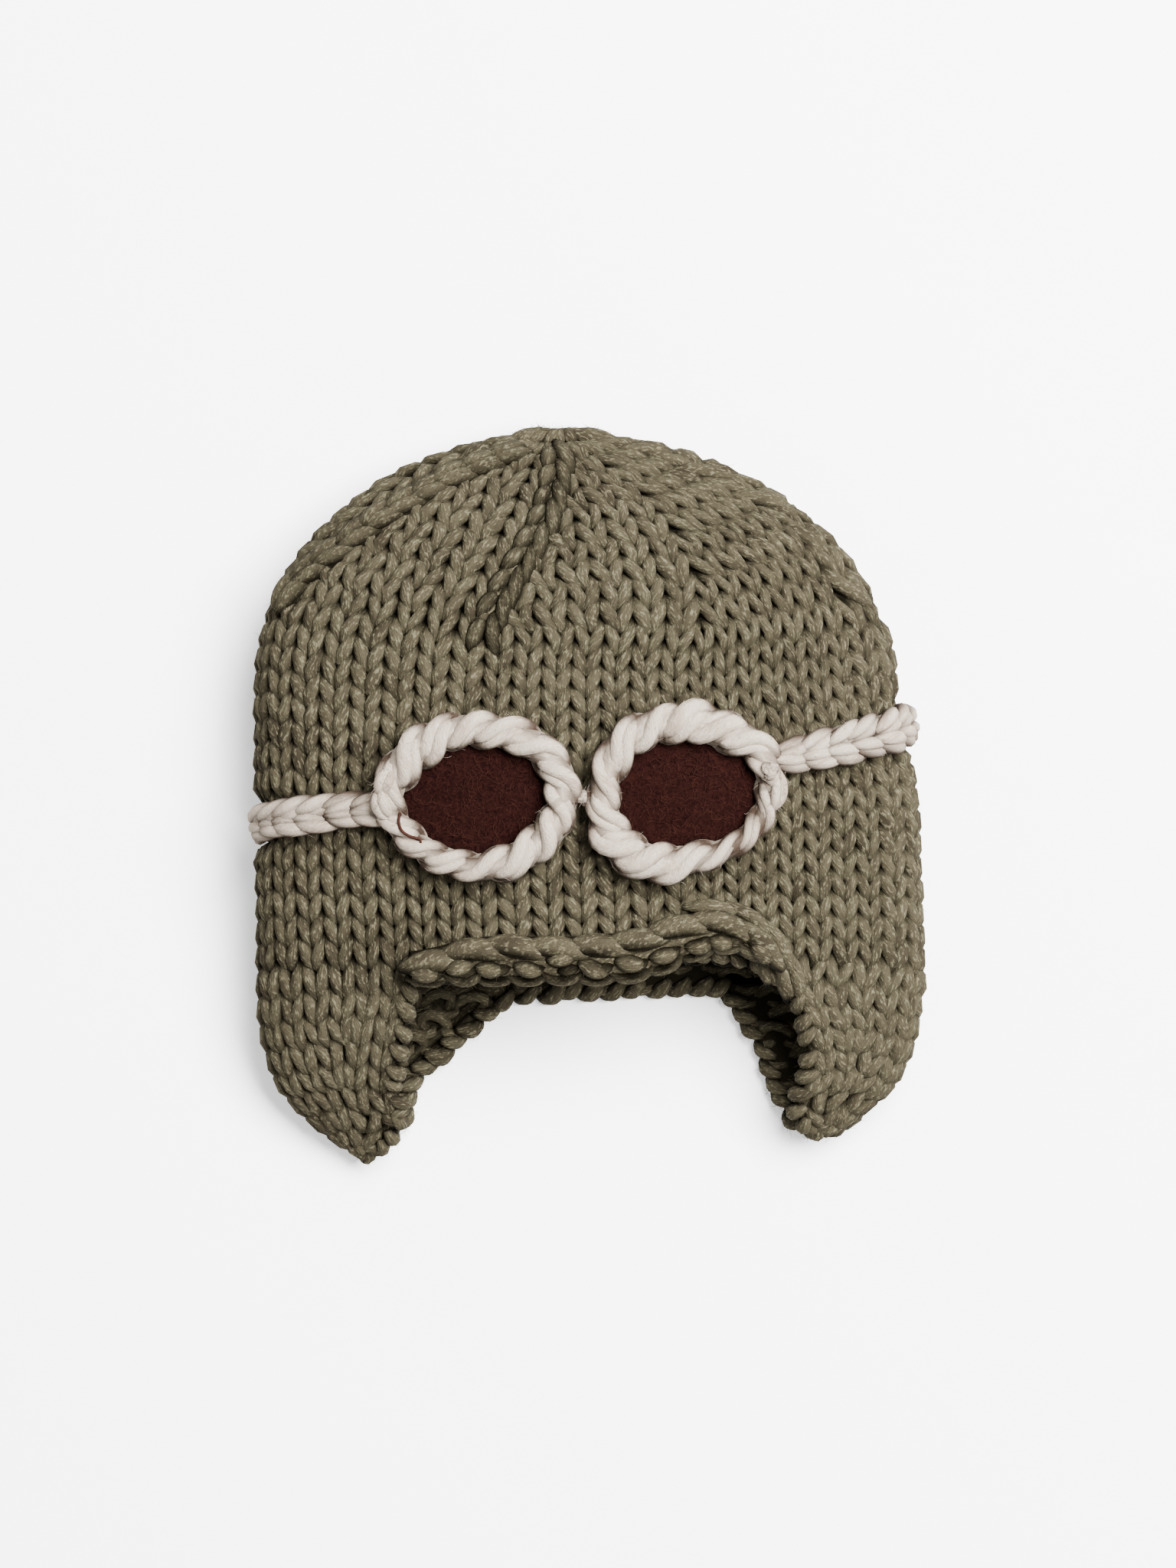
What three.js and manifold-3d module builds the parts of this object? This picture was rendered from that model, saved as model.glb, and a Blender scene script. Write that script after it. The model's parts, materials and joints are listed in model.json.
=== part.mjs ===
// Knitted aviator hat with crocheted goggles, lying on its back.
// Millimetres. +Z is up from the surface, +Y runs from the face opening to the crown.
// The origin is at the middle of the underside of the whole hat.

import * as THREE from 'three';
import * as BufferGeometryUtils from 'three/addons/utils/BufferGeometryUtils.js';
import Module from 'manifold-3d';

const wasm = await Module();
wasm.setup();

// Knitted wall and its mesh
const WALL = 6;
const COLUMNS_AROUND = 76;
const BODY_ROWS = 20;
const DOME_ROWS = 15;
const FINE_LOOP = 360;
const TURN_WEIGHT = 10;

// Dome of the crown, which starts where the straight body ends
const DOME_START_Y = 28.7;
const DOME_LENGTH = 67;
const AXIS_X = -7.6;
const AXIS_STRAIGHT_Y = -60;
const BAG_END_Y = -99;
const INNER_EXTRA_LENGTH = 6;
const CROWN_THINNING = 0.38;

// How the bag lies: a crowned upper layer, a flat lower layer and round folds at the sides
const CROWNING = 2.4;
const FLAT_SHARE = 0.6;
const SPLIT_HEIGHT = WALL + 0.5;
const CUT_MARGIN = 20;

// Sections of the lying hat, from the dome down to the tips of the ear flaps.
// left and right are the side folds, top the full height, fold the height of the side folds.
const sections = [
  { y: 28.7, left: -87.8, right: 81.2, top: 46, fold: 19 },
  { y: 12.7, left: -88.0, right: 84.6, top: 46.5, fold: 19 },
  { y: -3.3, left: -87.8, right: 87.0, top: 46, fold: 19 },
  { y: -19.3, left: -87.8, right: 87.6, top: 44.5, fold: 18.5 },
  { y: -35.3, left: -87.4, right: 88.4, top: 42, fold: 17.5 },
  { y: -47.3, left: -87.4, right: 88.8, top: 38.5, fold: 16 },
  { y: -59.3, left: -86.8, right: 87.6, top: 35, fold: 15 },
  { y: -67.3, left: -85.4, right: 85.6, top: 31.5, fold: 13.5 },
  { y: -75.3, left: -82.8, right: 82.2, top: 27, fold: 12 },
  { y: -81.3, left: -78.8, right: 77.2, top: 23, fold: 10.5 },
  { y: -87.3, left: -72.8, right: 70.0, top: 18.5, fold: 8.9 },
  { y: -92.3, left: -66.6, right: 61.4, top: 14.6, fold: 7.2 },
  { y: -99.0, left: -55.0, right: 46.0, top: 12.8, fold: 6.4 },
];

// Folds of the crown: each runs from the gathered apex through mid to its end.
const APEX = { x: -8.2, y: 94.3 };
const crownFolds = [
  { midX: -46.8, midY: 78.3, endX: -77.4, endY: 53.1, height: 2.0, halfWidth: 6 },
  { midX: -13.6, midY: 63.7, endX: -25.6, endY: 37.7, height: 1.4, halfWidth: 5 },
  { midX: 18.4, midY: 75.7, endX: 25.4, endY: 49.7, height: 1.0, halfWidth: 5 },
  { midX: 42.4, midY: 75.3, endX: 65.8, endY: 38.5, height: 1.0, halfWidth: 5 },
];
const FOLD_SAMPLES = 14;

// Gathers that pucker the knit around the apex
const GATHER_COUNT = 12;
const GATHER_DEPTH = 1.1;
const GATHER_REACH = 26;

// Lower edge of the front layer, from the tip of one ear flap to the tip of the other
const frontEdge = [
  { x: -60.4, y: -95.9 },
  { x: -55.6, y: -93.7 },
  { x: -51.2, y: -90.9 },
  { x: -49.4, y: -85.3 },
  { x: -50.8, y: -76.7 },
  { x: -50.4, y: -69.5 },
  { x: -48.6, y: -59.3 },
  { x: -47.2, y: -50.3 },
  { x: -44.0, y: -46.4 },
  { x: -30.0, y: -45.6 },
  { x: 0.0, y: -45.2 },
  { x: 14.0, y: -44.2 },
  { x: 24.0, y: -41.6 },
  { x: 32.0, y: -38.8 },
  { x: 40.0, y: -38.6 },
  { x: 48.0, y: -42.4 },
  { x: 53.6, y: -49.1 },
  { x: 57.8, y: -56.0 },
  { x: 59.4, y: -66.9 },
  { x: 60.6, y: -71.5 },
  { x: 58.8, y: -77.1 },
  { x: 54.6, y: -80.5 },
  { x: 53.8, y: -83.4 },
  { x: 57.4, y: -87.8 },
  { x: 62.4, y: -89.5 },
];

// Lower edge of the back layer, between the same two tips
const backEdge = [
  { x: -60.4, y: -95.9 },
  { x: -55.6, y: -93.7 },
  { x: -51.2, y: -90.9 },
  { x: -49.4, y: -85.3 },
  { x: -48.8, y: -79.0 },
  { x: -45.0, y: -72.4 },
  { x: -38.8, y: -67.2 },
  { x: -30.6, y: -59.6 },
  { x: -21.8, y: -54.4 },
  { x: -6.2, y: -51.4 },
  { x: 12.0, y: -49.8 },
  { x: 30.0, y: -49.0 },
  { x: 36.6, y: -50.4 },
  { x: 41.6, y: -57.0 },
  { x: 46.2, y: -66.0 },
  { x: 51.0, y: -77.5 },
  { x: 53.8, y: -83.4 },
  { x: 57.4, y: -87.8 },
  { x: 62.4, y: -89.5 },
];
const EDGE_STEPS = 3;

// Rolled band along the forehead, listed along its middle line
const BAND_THICKNESS = 8.5;
const BAND_GAP = 0.4;
const BAND_STEPS = 34;
const forehead = [
  { x: -45.4, y: -44.1, width: 8.4 },
  { x: -38.6, y: -43.5, width: 11.4 },
  { x: -27.0, y: -41.6, width: 14.6 },
  { x: -6.6, y: -41.5, width: 14.2 },
  { x: 4.6, y: -41.0, width: 15.2 },
  { x: 13.6, y: -40.0, width: 15.0 },
  { x: 23.0, y: -36.7, width: 14.5 },
  { x: 31.0, y: -34.9, width: 13.0 },
  { x: 37.4, y: -35.4, width: 11.0 },
  { x: 43.2, y: -38.1, width: 8.6 },
  { x: 46.8, y: -41.2, width: 7.4 },
];

// Crocheted rims: radius of the cord's middle line about each lens, every 30 degrees from +X
const RIM_THICKNESS = 7.6;
const RIM_GAP = 0.4;
const RIM_STEPS = 54;
const RIM_LOBES = 18;
const LOBE_DEPTH = 0.1;
const goggles = [
  {
    name: 'left',
    centerX: -29.2,
    centerY: -1.3,
    radius: [22.6, 22.2, 19.2, 18.2, 18.8, 20.2, 21.6, 18.9, 16.8, 16.8, 17.6, 20.0],
    width: [10.0, 10.6, 10.4, 10.2, 11.2, 11.4, 9.2, 8.6, 8.6, 9.0, 10.2, 10.8],
  },
  {
    name: 'right',
    centerX: 25.0,
    centerY: 1.1,
    radius: [21.4, 21.2, 17.8, 17.9, 18.6, 20.4, 21.0, 22.0, 20.4, 17.6, 17.6, 19.8],
    width: [8.2, 10.2, 11.6, 11.8, 11.2, 10.6, 10.0, 11.4, 12.0, 10.2, 7.4, 7.2],
  },
];

// Felt lenses, which lie inside the rims
const FELT_THICKNESS = 1.8;
const FELT_GAP = 0.4;
const FELT_CLEARANCE = 0.5;
const FELT_RINGS = 3;
const FELT_SPOKES = 24;

// Crocheted strap: it leaves each rim at its outer corner and takes the plain way round the
// back. Turn is the angle around the hat's section in degrees: 90 front, 180 left, 270 back.
const STRAP_THICKNESS = 5;
const STRAP_GAP = 0.6;
const STRAP_STEPS = 84;
const GROOVE_HALF_WIDTH = 7.2;
const GROOVE_FLANK = 7;
const strapRoute = [
  { turn: 129.6, y: -3.7, width: 10.6, groove: 0.2 },
  { turn: 143, y: -5.0, width: 12.0, groove: 0.6 },
  { turn: 163, y: -7.2, width: 12.0, groove: 2.6 },
  { turn: 180, y: -7.9, width: 12.0, groove: 4.8 },
  { turn: 202, y: -6.6, width: 12.0, groove: 5.6 },
  { turn: 235, y: -1.2, width: 12.0, groove: 5.6 },
  { turn: 270, y: 5.4, width: 12.0, groove: 5.6 },
  { turn: 305, y: 12.2, width: 12.0, groove: 5.6 },
  { turn: 338, y: 17.4, width: 12.4, groove: 5.6 },
  { turn: 360, y: 18.6, width: 13.0, groove: 2.9 },
  { turn: 377, y: 17.2, width: 13.6, groove: 1.6 },
  { turn: 397, y: 13.4, width: 13.4, groove: 0.6 },
  { turn: 409.6, y: 10.0, width: 11.0, groove: 0.2 },
];

const CORD_SIDES = 8;
const endCaps = [
  { out: 0.9, scale: 0.82 },
  { out: 1.6, scale: 0.45 },
];

// Smooth value through the rows of a table, by a key column that rises or falls
function tableValue(table, key, column, at) {
  const rising = table[table.length - 1][key] > table[0][key];
  const sign = rising ? 1 : -1;
  let index = 0;
  while (index < table.length - 2 && sign * (at - table[index + 1][key]) > 0) {
    index += 1;
  }
  const slope = (row) => {
    const before = table[Math.max(row - 1, 0)];
    const after = table[Math.min(row + 1, table.length - 1)];
    return (after[column] - before[column]) / (after[key] - before[key]);
  };
  const start = table[index];
  const end = table[index + 1];
  const span = end[key] - start[key];
  const t = Math.min(Math.max((at - start[key]) / span, 0), 1);
  const bend = t * t * (3 - 2 * t);
  const startSlope = span * slope(index) * t * (1 - t) * (1 - t);
  const endSlope = span * slope(index + 1) * t * t * (1 - t);
  return start[column] * (1 - bend) + end[column] * bend + startSlope - endSlope;
}

function smoothStep(from, to, at) {
  const t = Math.min(Math.max((at - from) / (to - from), 0), 1);
  return t * t * (3 - 2 * t);
}

// One row of the lying bag. Lift is 0 on the straight body and rises to a quarter turn
// at the end of the dome. Inset shrinks the bag for its inner face.
function bagRow(y, lift, inset) {
  const level = Math.min(y, DOME_START_Y);
  const straighten = smoothStep(AXIS_STRAIGHT_Y, DOME_START_Y, level);
  const thinning = 1 - CROWN_THINNING * Math.sin(lift) ** 2;
  return {
    y: level + (DOME_LENGTH - inset) * Math.sin(lift),
    axis: AXIS_X * straighten,
    left: tableValue(sections, 'y', 'left', level) + inset,
    right: tableValue(sections, 'y', 'right', level) - inset,
    top: thinning * tableValue(sections, 'y', 'top', level) - inset,
    bottom: inset,
    fold: thinning * tableValue(sections, 'y', 'fold', level),
    shrink: Math.cos(lift),
    reach: Math.sin(lift),
  };
}

// Smooth point of a row at an angle around its section
function smoothPoint(row, angle) {
  const across = Math.cos(angle);
  const side = across < 0 ? row.axis - row.left : row.right - row.axis;
  const x = row.axis + side * across * row.shrink;
  const distance = Math.min(Math.hypot(across * row.shrink, row.reach), 1);
  let z;
  if (Math.sin(angle) >= 0) {
    z = row.fold + (row.top - row.fold) * Math.sqrt(1 - distance ** CROWNING);
  } else {
    const rise = Math.max(0, (distance - FLAT_SHARE) / (1 - FLAT_SHARE));
    z = row.fold - (row.fold - row.bottom) * Math.sqrt(1 - rise * rise);
  }
  return new THREE.Vector3(x, row.y, z);
}

function outwardNormal(row, angle) {
  const step = 0.01;
  const before = smoothPoint(row, angle - step);
  const after = smoothPoint(row, angle + step);
  return new THREE.Vector3(after.z - before.z, 0, before.x - after.x).normalize();
}

// Distance in plan from a point to a crown fold, with the share of its length at that place
function distanceToFold(fold, x, y) {
  let nearest = Infinity;
  let share = 0;
  for (let k = 0; k <= FOLD_SAMPLES; k += 1) {
    const t = k / FOLD_SAMPLES;
    const s = 1 - t;
    const foldX = s * s * APEX.x + 2 * s * t * fold.midX + t * t * fold.endX;
    const foldY = s * s * APEX.y + 2 * s * t * fold.midY + t * t * fold.endY;
    const distance = Math.hypot(foldX - x, foldY - y);
    if (distance < nearest) {
      nearest = distance;
      share = t;
    }
  }
  return { nearest, share };
}

// How far the surface stands out from the smooth bag: crown folds and gathers
function crownRelief(x, y, isFront) {
  if (!isFront) {
    return 0;
  }
  let relief = 0;
  for (const fold of crownFolds) {
    const { nearest, share } = distanceToFold(fold, x, y);
    const taper = 1 - smoothStep(0.6, 1, share);
    relief += fold.height * taper * Math.exp(-((nearest / fold.halfWidth) ** 2));
  }
  const fromApex = Math.hypot(x - APEX.x, y - APEX.y);
  const gatherAngle = Math.atan2(y - APEX.y, x - APEX.x);
  const nearApex = Math.max(0, 1 - fromApex / GATHER_REACH);
  return relief - GATHER_DEPTH * nearApex * (1 + Math.cos(GATHER_COUNT * gatherAngle));
}

// How deep the strap is pressed into the knit
function strapGroove(angle, y) {
  const first = strapRoute[0].turn;
  const last = strapRoute[strapRoute.length - 1].turn;
  let turn = THREE.MathUtils.radToDeg(angle);
  if (turn < (first + last - 360) / 2) {
    turn += 360;
  }
  const inside = smoothStep(first - 8, first, turn) * (1 - smoothStep(last, last + 8, turn));
  const held = Math.min(Math.max(turn, first), last);
  const fromMiddle = Math.abs(y - tableValue(strapRoute, 'turn', 'y', held));
  const flank = 1 - smoothStep(GROOVE_HALF_WIDTH, GROOVE_HALF_WIDTH + GROOVE_FLANK, fromMiddle);
  return inside * flank * tableValue(strapRoute, 'turn', 'groove', held);
}

// Point of the knitted surface, with its folds and the groove under the strap
function bagPoint(row, angle) {
  const point = smoothPoint(row, angle);
  const isFront = Math.sin(angle) >= 0;
  const closing = row.shrink;
  const out = crownRelief(point.x, point.y, isFront) * closing - strapGroove(angle, row.y);
  return point.addScaledVector(outwardNormal(row, angle), out);
}

// Angles that spread the mesh columns evenly, with more of them at the side folds
function spreadAngles(row, count) {
  const places = [];
  let travelled = 0;
  let previous = smoothPoint(row, 0);
  let heading = null;
  for (let k = 1; k <= FINE_LOOP; k += 1) {
    const angle = (2 * Math.PI * k) / FINE_LOOP;
    const point = smoothPoint(row, angle);
    const step = point.clone().sub(previous);
    const nextHeading = Math.atan2(step.z, step.x);
    const turned = heading === null ? 0 : Math.abs(nextHeading - heading);
    travelled += step.length() + TURN_WEIGHT * Math.min(turned, 2 * Math.PI - turned);
    places.push({ angle, travelled });
    previous = point;
    heading = nextHeading;
  }
  const angles = [];
  let index = 0;
  let passed = { angle: 0, travelled: 0 };
  for (let k = 0; k < count; k += 1) {
    const wanted = (travelled * k) / count;
    while (places[index].travelled < wanted) {
      passed = places[index];
      index += 1;
    }
    const span = places[index].travelled - passed.travelled;
    const t = (wanted - passed.travelled) / span;
    angles.push(passed.angle + t * (places[index].angle - passed.angle));
  }
  return angles;
}

// Closed solid from rings of points, with a single point at each end
function solidFromRings(rings, startPoint, endPoint) {
  const count = rings[0].length;
  const positions = [];
  rings.flat().forEach((point) => positions.push(point.x, point.y, point.z));
  const startIndex = rings.length * count;
  positions.push(startPoint.x, startPoint.y, startPoint.z);
  positions.push(endPoint.x, endPoint.y, endPoint.z);
  const faces = [];
  for (let i = 0; i < count; i += 1) {
    const next = (i + 1) % count;
    faces.push(startIndex, next, i);
    const last = (rings.length - 1) * count;
    faces.push(startIndex + 1, last + i, last + next);
    for (let j = 0; j < rings.length - 1; j += 1) {
      const low = j * count;
      const high = low + count;
      faces.push(low + i, low + next, high + next);
      faces.push(low + i, high + next, high + i);
    }
  }
  const geometry = new THREE.BufferGeometry();
  geometry.setAttribute('position', new THREE.Float32BufferAttribute(positions, 3));
  geometry.setIndex(faces);
  return geometry;
}

function middleOf(points) {
  const sum = new THREE.Vector3();
  points.forEach((point) => sum.add(point));
  return sum.divideScalar(points.length);
}

// The whole bag as a filled solid, open to be cut at its lower end
function bagSolid(inset, columns, bodyRows, domeRows, endY) {
  const rings = [];
  for (let j = 0; j < bodyRows; j += 1) {
    const y = endY + ((DOME_START_Y - endY) * j) / bodyRows;
    const row = bagRow(Math.max(y, BAG_END_Y), 0, inset);
    row.y = y;
    rings.push(spreadAngles(row, columns).map((angle) => bagPoint(row, angle)));
  }
  for (let j = 0; j < domeRows; j += 1) {
    const row = bagRow(DOME_START_Y, (Math.PI / 2) * (j / domeRows), inset);
    rings.push(spreadAngles(row, columns).map((angle) => bagPoint(row, angle)));
  }
  const pole = bagRow(DOME_START_Y, Math.PI / 2, inset);
  const polePoint = new THREE.Vector3(pole.axis, pole.y, pole.fold);
  // Rings run the other way round the Y axis than the solid's outer faces need
  rings.forEach((ring) => ring.reverse());
  return solidFromRings(rings, middleOf(rings[0]), polePoint);
}

function toManifold(geometry) {
  const plain = geometry.clone();
  plain.deleteAttribute('normal');
  plain.deleteAttribute('uv');
  const merged = BufferGeometryUtils.mergeVertices(plain, 1e-4);
  const vertProperties = new Float32Array(merged.attributes.position.array);
  const triVerts = new Uint32Array(merged.index.array);
  return new wasm.Manifold(new wasm.Mesh({ numProp: 3, vertProperties, triVerts }));
}

function fromManifold(solid) {
  const mesh = solid.getMesh();
  const geometry = new THREE.BufferGeometry();
  geometry.setAttribute('position', new THREE.BufferAttribute(mesh.vertProperties, 3));
  geometry.setIndex(new THREE.BufferAttribute(mesh.triVerts, 1));
  return geometry;
}

// Prism that takes away one layer of the bag below its lower edge
function mouthCut(edge, fromHeight, toHeight) {
  const curve = new THREE.SplineCurve(edge.map((row) => new THREE.Vector2(row.x, row.y)));
  const points = curve.getPoints((edge.length - 1) * EDGE_STEPS);
  const low = BAG_END_Y - CUT_MARGIN;
  const firstTip = points[0];
  const lastTip = points[points.length - 1];
  points.push(new THREE.Vector2(lastTip.x + CUT_MARGIN, lastTip.y));
  points.push(new THREE.Vector2(lastTip.x + CUT_MARGIN, low));
  points.push(new THREE.Vector2(firstTip.x - CUT_MARGIN, low));
  points.push(new THREE.Vector2(firstTip.x - CUT_MARGIN, firstTip.y));
  const options = { depth: toHeight - fromHeight, bevelEnabled: false };
  const geometry = new THREE.ExtrudeGeometry(new THREE.Shape(points), options);
  geometry.translate(0, 0, fromHeight);
  return toManifold(geometry);
}

// Hollow knitted shell: front and back layer, crown and both ear flaps in one piece
function knittedShell() {
  const outside = toManifold(bagSolid(0, COLUMNS_AROUND, BODY_ROWS, DOME_ROWS, BAG_END_Y));
  const innerEnd = BAG_END_Y - INNER_EXTRA_LENGTH;
  const insideRows = BODY_ROWS * 0.6;
  const domeInsideRows = DOME_ROWS * 0.6;
  const insideColumns = COLUMNS_AROUND / 2;
  const inside = toManifold(
    bagSolid(WALL, insideColumns, insideRows, domeInsideRows, innerEnd),
  );
  const tallest = sections[0].top + CUT_MARGIN;
  const front = mouthCut(frontEdge, SPLIT_HEIGHT, tallest);
  const back = mouthCut(backEdge, -CUT_MARGIN, SPLIT_HEIGHT);
  return fromManifold(outside.subtract(inside).subtract(front).subtract(back));
}

// Height of the front surface above a point in plan
function frontHeight(x, y) {
  const lift = Math.asin(Math.max(0, Math.min((y - DOME_START_Y) / DOME_LENGTH, 1)));
  const row = bagRow(y, lift, 0);
  const side = x < row.axis ? row.axis - row.left : row.right - row.axis;
  const across = (x - row.axis) / (side * row.shrink);
  return bagPoint(row, Math.acos(across)).z;
}

function frontNormal(x, y) {
  const step = 0.5;
  const slopeX = (frontHeight(x + step, y) - frontHeight(x - step, y)) / (2 * step);
  const slopeY = (frontHeight(x, y + step) - frontHeight(x, y - step)) / (2 * step);
  return new THREE.Vector3(-slopeX, -slopeY, 1).normalize();
}

// Ring of points around one place of a cord. Its underside is flatter than its top.
function cordRing(place, tangent, scale) {
  const { point, normal, width, thickness, lobe } = place;
  const across = new THREE.Vector3().crossVectors(normal, tangent).normalize();
  const ring = [];
  for (let k = 0; k < CORD_SIDES; k += 1) {
    const angle = (2 * Math.PI * (k + 0.5)) / CORD_SIDES;
    const flat = Math.cos(Math.PI / CORD_SIDES);
    const sideways = (Math.cos(angle) / flat) * (width / 2) * scale * lobe;
    const upwards = (Math.sin(angle) / flat) * (thickness / 2) * scale * lobe;
    const offset = across.clone().multiplyScalar(sideways).addScaledVector(normal, upwards);
    ring.push(point.clone().add(offset));
  }
  return ring;
}

// Closed round cord, such as a rim
function closedCord(places) {
  const count = places.length;
  const positions = [];
  const faces = [];
  places.forEach((place, index) => {
    const before = places[(index + count - 1) % count].point;
    const after = places[(index + 1) % count].point;
    const tangent = after.clone().sub(before).normalize();
    cordRing(place, tangent, 1).forEach((point) => positions.push(point.x, point.y, point.z));
    for (let k = 0; k < CORD_SIDES; k += 1) {
      const nextSide = (k + 1) % CORD_SIDES;
      const here = index * CORD_SIDES;
      const there = ((index + 1) % count) * CORD_SIDES;
      faces.push(here + k, here + nextSide, there + nextSide);
      faces.push(here + k, there + nextSide, there + k);
    }
  });
  const geometry = new THREE.BufferGeometry();
  geometry.setAttribute('position', new THREE.Float32BufferAttribute(positions, 3));
  geometry.setIndex(faces);
  return geometry;
}

// Cord with two rounded ends, such as the strap or the forehead band
function openCord(places) {
  const last = places.length - 1;
  const tangents = places.map((place, index) => {
    const before = places[Math.max(index - 1, 0)].point;
    const after = places[Math.min(index + 1, last)].point;
    return after.clone().sub(before).normalize();
  });
  const rings = places.map((place, index) => cordRing(place, tangents[index], 1));
  const startTangent = tangents[0];
  const endTangent = tangents[last];
  for (const { out, scale } of endCaps) {
    const startPoint = places[0].point.clone().addScaledVector(startTangent, -out);
    rings.unshift(cordRing({ ...places[0], point: startPoint }, startTangent, scale));
    const endPoint = places[last].point.clone().addScaledVector(endTangent, out);
    rings.push(cordRing({ ...places[last], point: endPoint }, endTangent, scale));
  }
  return solidFromRings(rings, middleOf(rings[0]), middleOf(rings[rings.length - 1]));
}

function roundTable(values, turns) {
  const place = turns * values.length;
  const index = Math.floor(place);
  const t = place - index;
  const at = (k) => values[(index + k + values.length) % values.length];
  const bend = t * t * (3 - 2 * t);
  const startSlope = ((at(1) - at(-1)) / 2) * t * (1 - t) * (1 - t);
  const endSlope = ((at(2) - at(0)) / 2) * t * t * (1 - t);
  return at(0) * (1 - bend) + at(1) * bend + startSlope - endSlope;
}

function goggleRim(goggle) {
  const places = [];
  for (let k = 0; k < RIM_STEPS; k += 1) {
    const turns = k / RIM_STEPS;
    const angle = 2 * Math.PI * turns;
    const radius = roundTable(goggle.radius, turns);
    const x = goggle.centerX + radius * Math.cos(angle);
    const y = goggle.centerY + radius * Math.sin(angle);
    const normal = frontNormal(x, y);
    const seat = RIM_GAP + RIM_THICKNESS / 2;
    const point = new THREE.Vector3(x, y, frontHeight(x, y)).addScaledVector(normal, seat);
    const lobe = 1 - (LOBE_DEPTH / 2) * (1 + Math.cos(RIM_LOBES * angle));
    const width = roundTable(goggle.width, turns);
    places.push({ point, normal, width, thickness: RIM_THICKNESS, lobe });
  }
  return closedCord(places);
}

// Felt lens: a thin pad that follows the knit below it
function goggleLens(goggle) {
  const ringAt = (share, height) => {
    const ring = [];
    for (let k = 0; k < FELT_SPOKES; k += 1) {
      const turns = k / FELT_SPOKES;
      const angle = 2 * Math.PI * turns;
      const inner = roundTable(goggle.radius, turns) - roundTable(goggle.width, turns) / 2;
      const reach = (inner - FELT_CLEARANCE) * share;
      const x = goggle.centerX + reach * Math.cos(angle);
      const y = goggle.centerY + reach * Math.sin(angle);
      ring.push(new THREE.Vector3(x, y, frontHeight(x, y) + height));
    }
    return ring;
  };
  const rings = [];
  for (let k = 1; k <= FELT_RINGS; k += 1) {
    rings.push(ringAt(k / FELT_RINGS, FELT_GAP));
  }
  for (let k = FELT_RINGS; k >= 1; k -= 1) {
    rings.push(ringAt(k / FELT_RINGS, FELT_GAP + FELT_THICKNESS));
  }
  const middle = frontHeight(goggle.centerX, goggle.centerY);
  const { centerX, centerY } = goggle;
  const low = new THREE.Vector3(centerX, centerY, middle + FELT_GAP);
  const high = new THREE.Vector3(centerX, centerY, middle + FELT_GAP + FELT_THICKNESS);
  return solidFromRings(rings, low, high);
}

function foreheadBand() {
  const curve = new THREE.SplineCurve(forehead.map((row) => new THREE.Vector2(row.x, row.y)));
  const places = [];
  for (let k = 0; k <= BAND_STEPS; k += 1) {
    const spot = curve.getPoint(k / BAND_STEPS);
    const width = tableValue(forehead, 'x', 'width', spot.x);
    const normal = frontNormal(spot.x, spot.y);
    const thickness = Math.min(BAND_THICKNESS, width);
    const seat = BAND_GAP + thickness / 2;
    const height = frontHeight(spot.x, spot.y);
    const point = new THREE.Vector3(spot.x, spot.y, height).addScaledVector(normal, seat);
    places.push({ point, normal, width, thickness, lobe: 1 });
  }
  return openCord(places);
}

function goggleStrap() {
  const first = strapRoute[0].turn;
  const last = strapRoute[strapRoute.length - 1].turn;
  const places = [];
  for (let k = 0; k <= STRAP_STEPS; k += 1) {
    const turn = first + ((last - first) * k) / STRAP_STEPS;
    const angle = THREE.MathUtils.degToRad(turn % 360);
    const row = bagRow(tableValue(strapRoute, 'turn', 'y', turn), 0, 0);
    const normal = outwardNormal(row, angle);
    const seat = STRAP_GAP + STRAP_THICKNESS / 2;
    const point = bagPoint(row, angle).addScaledVector(normal, seat);
    const width = tableValue(strapRoute, 'turn', 'width', turn);
    places.push({ point, normal, width, thickness: STRAP_THICKNESS, lobe: 1 });
  }
  return openCord(places);
}

const oliveYarn = { color: 0x8a8168, roughness: 0.95, metalness: 0 };
const creamYarn = { color: 0xd6ccc4, roughness: 0.95, metalness: 0 };
const brownFelt = { color: 0x3a1c18, roughness: 1, metalness: 0 };

function part(name, geometry, finish) {
  geometry.computeVertexNormals();
  const mesh = new THREE.Mesh(geometry, new THREE.MeshStandardMaterial(finish));
  mesh.name = name;
  return mesh;
}

const group = new THREE.Group();
group.add(part('knitted_shell', knittedShell(), oliveYarn));
group.add(part('forehead_band', foreheadBand(), oliveYarn));
for (const goggle of goggles) {
  group.add(part(`goggle_rim_${goggle.name}`, goggleRim(goggle), creamYarn));
  group.add(part(`goggle_lens_${goggle.name}`, goggleLens(goggle), brownFelt));
}
group.add(part('goggle_strap', goggleStrap(), creamYarn));

export default group;
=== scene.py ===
# %% [markdown]
# # A knitted aviator hat with crocheted goggles
# The real hat is hand knitted from one thick olive wool yarn, and cream goggles are crocheted
# and sewn on with two felt lenses. It lies on its back on a pale table. We load the packed
# model as a fixed frame, and build every piece of yarn around it. Lengths are worked out in
# millimetres, and MM turns them into Blender's metres.

# %% Load the frame
import json
import math

import bmesh
import bpy
import numpy as np
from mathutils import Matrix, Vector
from mathutils.bvhtree import BVHTree

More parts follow.
